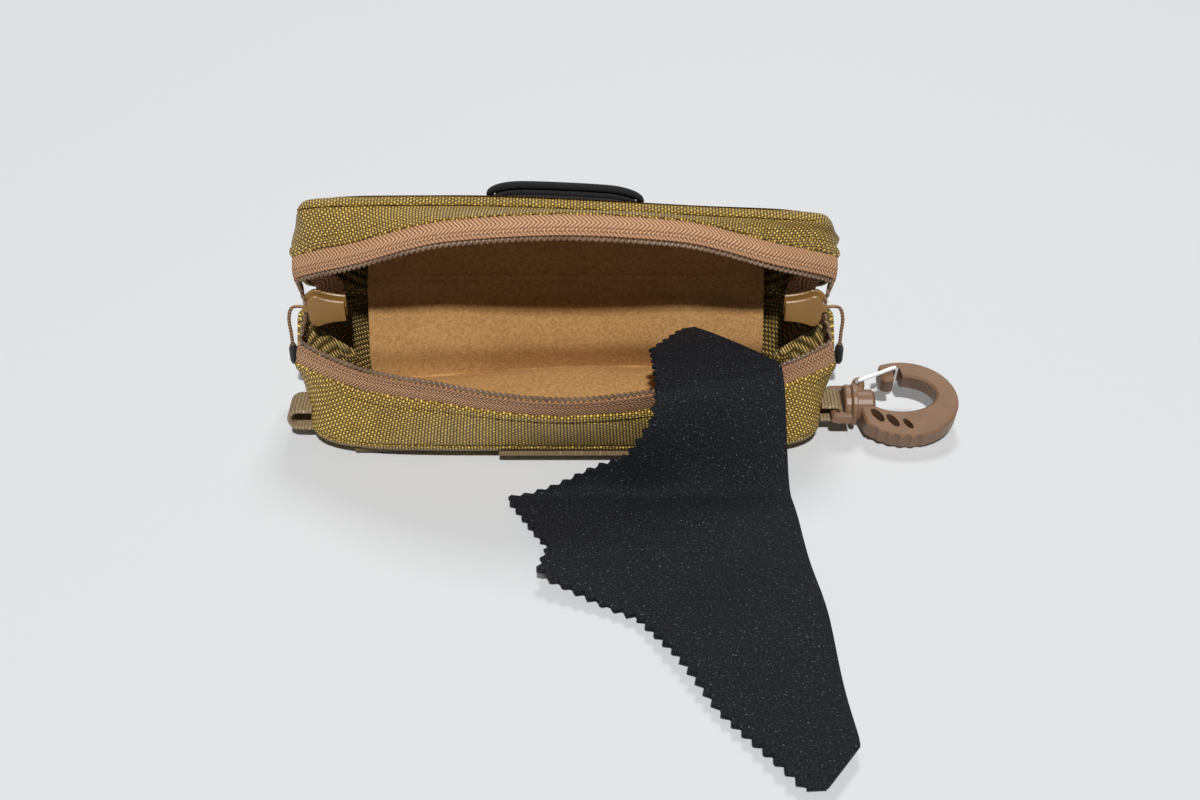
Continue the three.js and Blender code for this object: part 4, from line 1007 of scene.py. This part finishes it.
# webbing under the case and at its ends
web = {
    "thick": 1.35, "beltWidth": 43, "strapWidth": 20, "strapX": 59, "strapZ": 2.0,
    "strapY": (-18.9, -12, -4, 5, 12, 18.9),
    # points along and across each strip
    "beltPoints": (60, 40), "strapPoints": (40, 20), "loopAcross": 12,
    # the belt loop's run under the case as (y, z), sewn at both ends and slack between
    "beltRun": [(-24.2, 4.9), (-23.2, 3.6), (-21, 2.1), (-18, 1.7), (-15, 0.75), (-8, 0.7), (6, 0.7),
                (12, 0.75), (15, 1.9), (18, 2.0), (21.4, 2.0)],
    # end loops: how far the legs run into the case, and the straight that all loops have
    "loopWidth": 11, "loopZ": 8.2, "sewnIn": 1.5, "straight": 1.4, "bendSteps": 24, "legSteps": 8,
}
alongX, alongY = (1, 0, 0), (0, 1, 0)
path = smoothPath([(0, y, z) for y, z in web["beltRun"]], web["beltPoints"][0])
beltLoop = stripPiece("beltLoop", path, alongX, web["beltWidth"], web["thick"], web["beltPoints"][1])
setUp(beltLoop, webTan, "tray", "webbing", "belt_loop")
for name, side in (("Left", -1), ("Right", 1)):
    controls = [(side * web["strapX"], y, web["strapZ"]) for y in web["strapY"]]
    path = smoothPath(controls, web["strapPoints"][0])
    strap = stripPiece("strap" + name, path, alongX, web["strapWidth"], web["thick"], web["strapPoints"][1])
    setUp(strap, webTan, "tray", "webbing", "strap_" + name.lower())


# a folded webbing loop: out along the top, round the end and back below
def endLoop(name, node, start, radius, reach, y, mirror):
    middle = radius + web["thick"] / 2
    turn = np.linspace(np.pi / 2, -np.pi / 2, web["bendSteps"])
    bendX = start + web["straight"] + reach + middle * np.cos(turn)
    bend = np.stack([bendX, np.full(len(turn), y), web["loopZ"] + middle * np.sin(turn)], 1)
    sewn = start - web["sewnIn"]
    lead = np.linspace([sewn, y, web["loopZ"] + middle], bend[0], web["legSteps"])[:-1]
    tail = np.linspace(bend[-1], [sewn, y, web["loopZ"] - middle], web["legSteps"])[1:]
    path = np.concatenate([lead, bend, tail]) * [mirror, 1, 1]
    loop = stripPiece(name, path, alongY, web["loopWidth"], web["thick"], web["loopAcross"])
    setUp(loop, webTan, "tray", "webbing", node)


endLoop("hookLoop", "hook_loop", start=86.1, radius=1.9, reach=1.3, y=-2.4, mirror=1)
endLoop("spareLoop", "spare_loop", start=84.64, radius=2.7, reach=1.6, y=-6, mirror=-1)
print("webbing sewn")

# cloth: folded once along its right side, from inside over the rim and out on the table
cloth = {
    "start": -41, "end": 160, "hang": 42, "tableY": -41, "lip": 35.9, "low": 0.85,
    "rows": 420, "columns": 70, "layer": 0.42, "apart": 0.12, "underShift": 0.5, "step": 0.4,
    # pinked edge: length and depth of a tooth, and the share of the width that it takes
    "tooth": 4.3, "toothDepth": 1.9, "pinkShare": 0.06,
    # inside the case: depth and power of the sag
    "sag": 8, "sagPower": 1.6,
    # over the rim: how far off it, the pulls of the curve at the rim and the table, the hanging folds
    "lipOff": 1, "rimPull": 9, "tablePull": 12, "hangOff": 1.4, "foldDepth": 1.4, "foldLength": 5.5,
    # on the table: height, run-in and lengths of the ripple; height, run-in, length and seed of the swell
    "ripple": 1.1, "rippleIn": 25, "rippleRun": 13, "rippleAcross": 26,
    "swell": 1.7, "swellIn": 12, "swellLength": 40, "swellSeed": 11,
    # its two sides, by the run from the rim
    "leftRun": [-41, -27, 0, 12, 24, 34, 42, 68, 80, 96, 112, 131, 160],
    "leftX": [40, 29, 30, 28, 20, 0, -17, -3, -6, 23, 34, 44, 66],
    "rightRun": [-41, 0, 42, 100, 146, 160], "rightX": [43, 69, 72, 77, 80, 70],
}


# middle surface: a sagging run inside, a cubic curve over the rim down to the table, then flat waves
def clothSurface(x, run):
    lipY = frontAt(rim, x, 0) - cloth["lipOff"]
    lipZ = cloth["lip"] - dipAt(x)
    inside = np.clip(run / cloth["start"], 0, 1)
    t = np.clip(run / cloth["hang"], 0, 1)
    atRim, pastRim, nearTable, onTable = (1 - t) ** 3, 3 * t * (1 - t) ** 2, 3 * t * t * (1 - t), t ** 3
    fallY = lipY * atRim + (lipY - cloth["rimPull"]) * pastRim
    fallY = fallY + (cloth["tableY"] + cloth["tablePull"]) * nearTable + cloth["tableY"] * onTable
    fallZ = lipZ * (atRim + pastRim) + cloth["low"] * (nearTable + onTable)
    folds = cloth["foldDepth"] * np.sin(np.pi * t) * (np.sin(x / cloth["foldLength"]) - 1)
    fallY = fallY - cloth["hangOff"] * (run > 0) + folds
    out = np.maximum(run - cloth["hang"], 0)
    ripple = 1 + np.sin(out / cloth["rippleRun"] + x / cloth["rippleAcross"])
    swell = softWaves(np.stack([x, run, 0 * x], -1), cloth["swellLength"], cloth["swellSeed"]).clip(-1, 1)
    wave = cloth["ripple"] * np.minimum(1, out / cloth["rippleIn"]) * ripple
    wave = wave + cloth["swell"] * np.minimum(1, out / cloth["swellIn"]) * (1 + swell)
    y = np.where(run < 0, lipY - run, fallY) - out
    z = np.where(run < 0, lipZ - cloth["sag"] * inside ** cloth["sagPower"], fallZ + wave)
    return np.stack([x, y, z], -1)


run = np.linspace(cloth["start"], cloth["end"], cloth["rows"])
left = np.interp(run, cloth["leftRun"], cloth["leftX"])
right = np.interp(run, cloth["rightRun"], cloth["rightX"])
# teeth along the left side, pushed out at a right angle to it
edgeRun = runAlong(clothSurface(left, run))
tooth = np.abs((edgeRun / cloth["tooth"]) % 1 - 0.5) * 2 * cloth["toothDepth"]
slope = np.gradient(left, run)
across = np.linspace(0, 1, cloth["columns"])
x = left[:, None] + (right - left)[:, None] * across[None]
pinked = tooth[:, None] * np.maximum(0, 1 - across / cloth["pinkShare"])[None]
slant = np.sqrt(1 + slope ** 2)[:, None]
sheetX = x - pinked / slant
sheetRun = np.clip(run[:, None] + pinked * slope[:, None] / slant, cloth["start"], cloth["end"])
# two layers a little apart, joined along the right side
middleSheet, step = clothSurface(sheetX, sheetRun), cloth["step"]
stepX = clothSurface(sheetX + step, sheetRun) - clothSurface(sheetX - step, sheetRun)
stepRun = clothSurface(sheetX, sheetRun + step) - clothSurface(sheetX, sheetRun - step)
clothUp = unit(np.cross(stepRun, stepX))
outside, gap = cloth["layer"] + cloth["apart"] / 2, cloth["apart"] / 2
top, bottom = middleSheet + clothUp * outside, middleSheet - clothUp * outside
innerTop, innerBottom = middleSheet + clothUp * gap, middleSheet - clothUp * gap
stop = cloth["columns"] - 2
grid = np.concatenate([top, bottom[:, ::-1], innerBottom[:, :stop], innerTop[:, :stop][:, ::-1]], 1)
under = x[:, ::-1] + cloth["underShift"]
uvAcross = np.concatenate([x, under, x[:, :stop], x[:, :stop][:, ::-1], x[:, :1]], 1)
clothUv = np.stack([uvAcross, np.broadcast_to(run[:, None], uvAcross.shape)], -1)
clothPiece = setUp(skin("cleaningCloth", grid, clothUv), microfibre, "cloth", "microfibre", "cloth")
print("cloth draped")

# studio: pale floor, a key lamp above the camera, a soft lamp overhead and soft fill; lengths in metres
studio = {
    "camera": (0.01139, -0.42845, 0.33022), "pitch": 36.93, "lens": 48, "sensor": 36, "clipStart": 0.01,
    "floor": (0.64, 0.65, 0.66, 1), "floorReach": 6, "floorZ": -0.0002, "fill": 0.075, "backdrop": 0.7,
    # lamps: name, place, power, size, all turned to one aim
    "lamps": [("keyLamp", (0.08, -2.8, 4.2), 264, 0.28), ("overheadLamp", (0.15, 1.25, 1.8), 13, 0.45)],
    "aim": (0, -0.02, 0.03),
}
floorMesh = bpy.data.meshes.new("floor")
floorCorners = [(x * studio["floorReach"], y * studio["floorReach"], studio["floorZ"])
                for x, y in ((-1, -1), (1, -1), (1, 1), (-1, 1))]
floorMesh.from_pydata(floorCorners, [], [(0, 1, 2, 3)])
floor = bpy.data.objects.new("floor", floorMesh)
bpy.context.scene.collection.objects.link(floor)
floorLook, wire = newLook("paleFloor")
paper = wire.speckle(objectPoint(wire), 30.0, 3.0)
surface(floorLook, wire, studio["floor"], 0.62 + paper * 0.1)
floorMesh.materials.append(floorLook)

cameraData = bpy.data.cameras.new("camera")
cameraData.lens = studio["lens"]
cameraData.sensor_width = studio["sensor"]
cameraData.clip_start = studio["clipStart"]
camera = bpy.data.objects.new("camera", cameraData)
camera.location = studio["camera"]
camera.rotation_euler = (math.radians(90 - studio["pitch"]), 0, 0)
bpy.context.scene.collection.objects.link(camera)
bpy.context.scene.camera = camera

for name, place, power, size in studio["lamps"]:
    lampData = bpy.data.lights.new(name, "AREA")
    lampData.energy = power
    lampData.size = size
    lamp = bpy.data.objects.new(name, lampData)
    lamp.location = place
    aim = np.array(studio["aim"]) - np.array(place)
    tilt = math.atan2(math.hypot(aim[0], aim[1]), -aim[2])
    lamp.rotation_euler = (tilt, 0, -math.atan2(aim[0], aim[1]))
    bpy.context.scene.collection.objects.link(lamp)

# the world is a plain fill for the object; the camera, metal and gloss see the paler backdrop
world = bpy.data.worlds.new("studio")
world.use_nodes = True
background = world.node_tree.nodes["Background"]
background.inputs["Color"].default_value = (1, 1, 1, 1)
rays = [Wire(world.node_tree).add("ShaderNodeLightPath", {}, {}, kind + " Ray")
        for kind in ("Is Camera", "Is Glossy", "Is Transmission")]
seen = rays[0].math("MAXIMUM", rays[1]).math("MAXIMUM", rays[2])
strength = seen * (studio["backdrop"] - studio["fill"]) + studio["fill"]
world.node_tree.links.new(strength.socket, background.inputs["Strength"])
bpy.context.scene.world = world
bpy.context.scene.view_settings.view_transform = "Standard"
print("studio set")
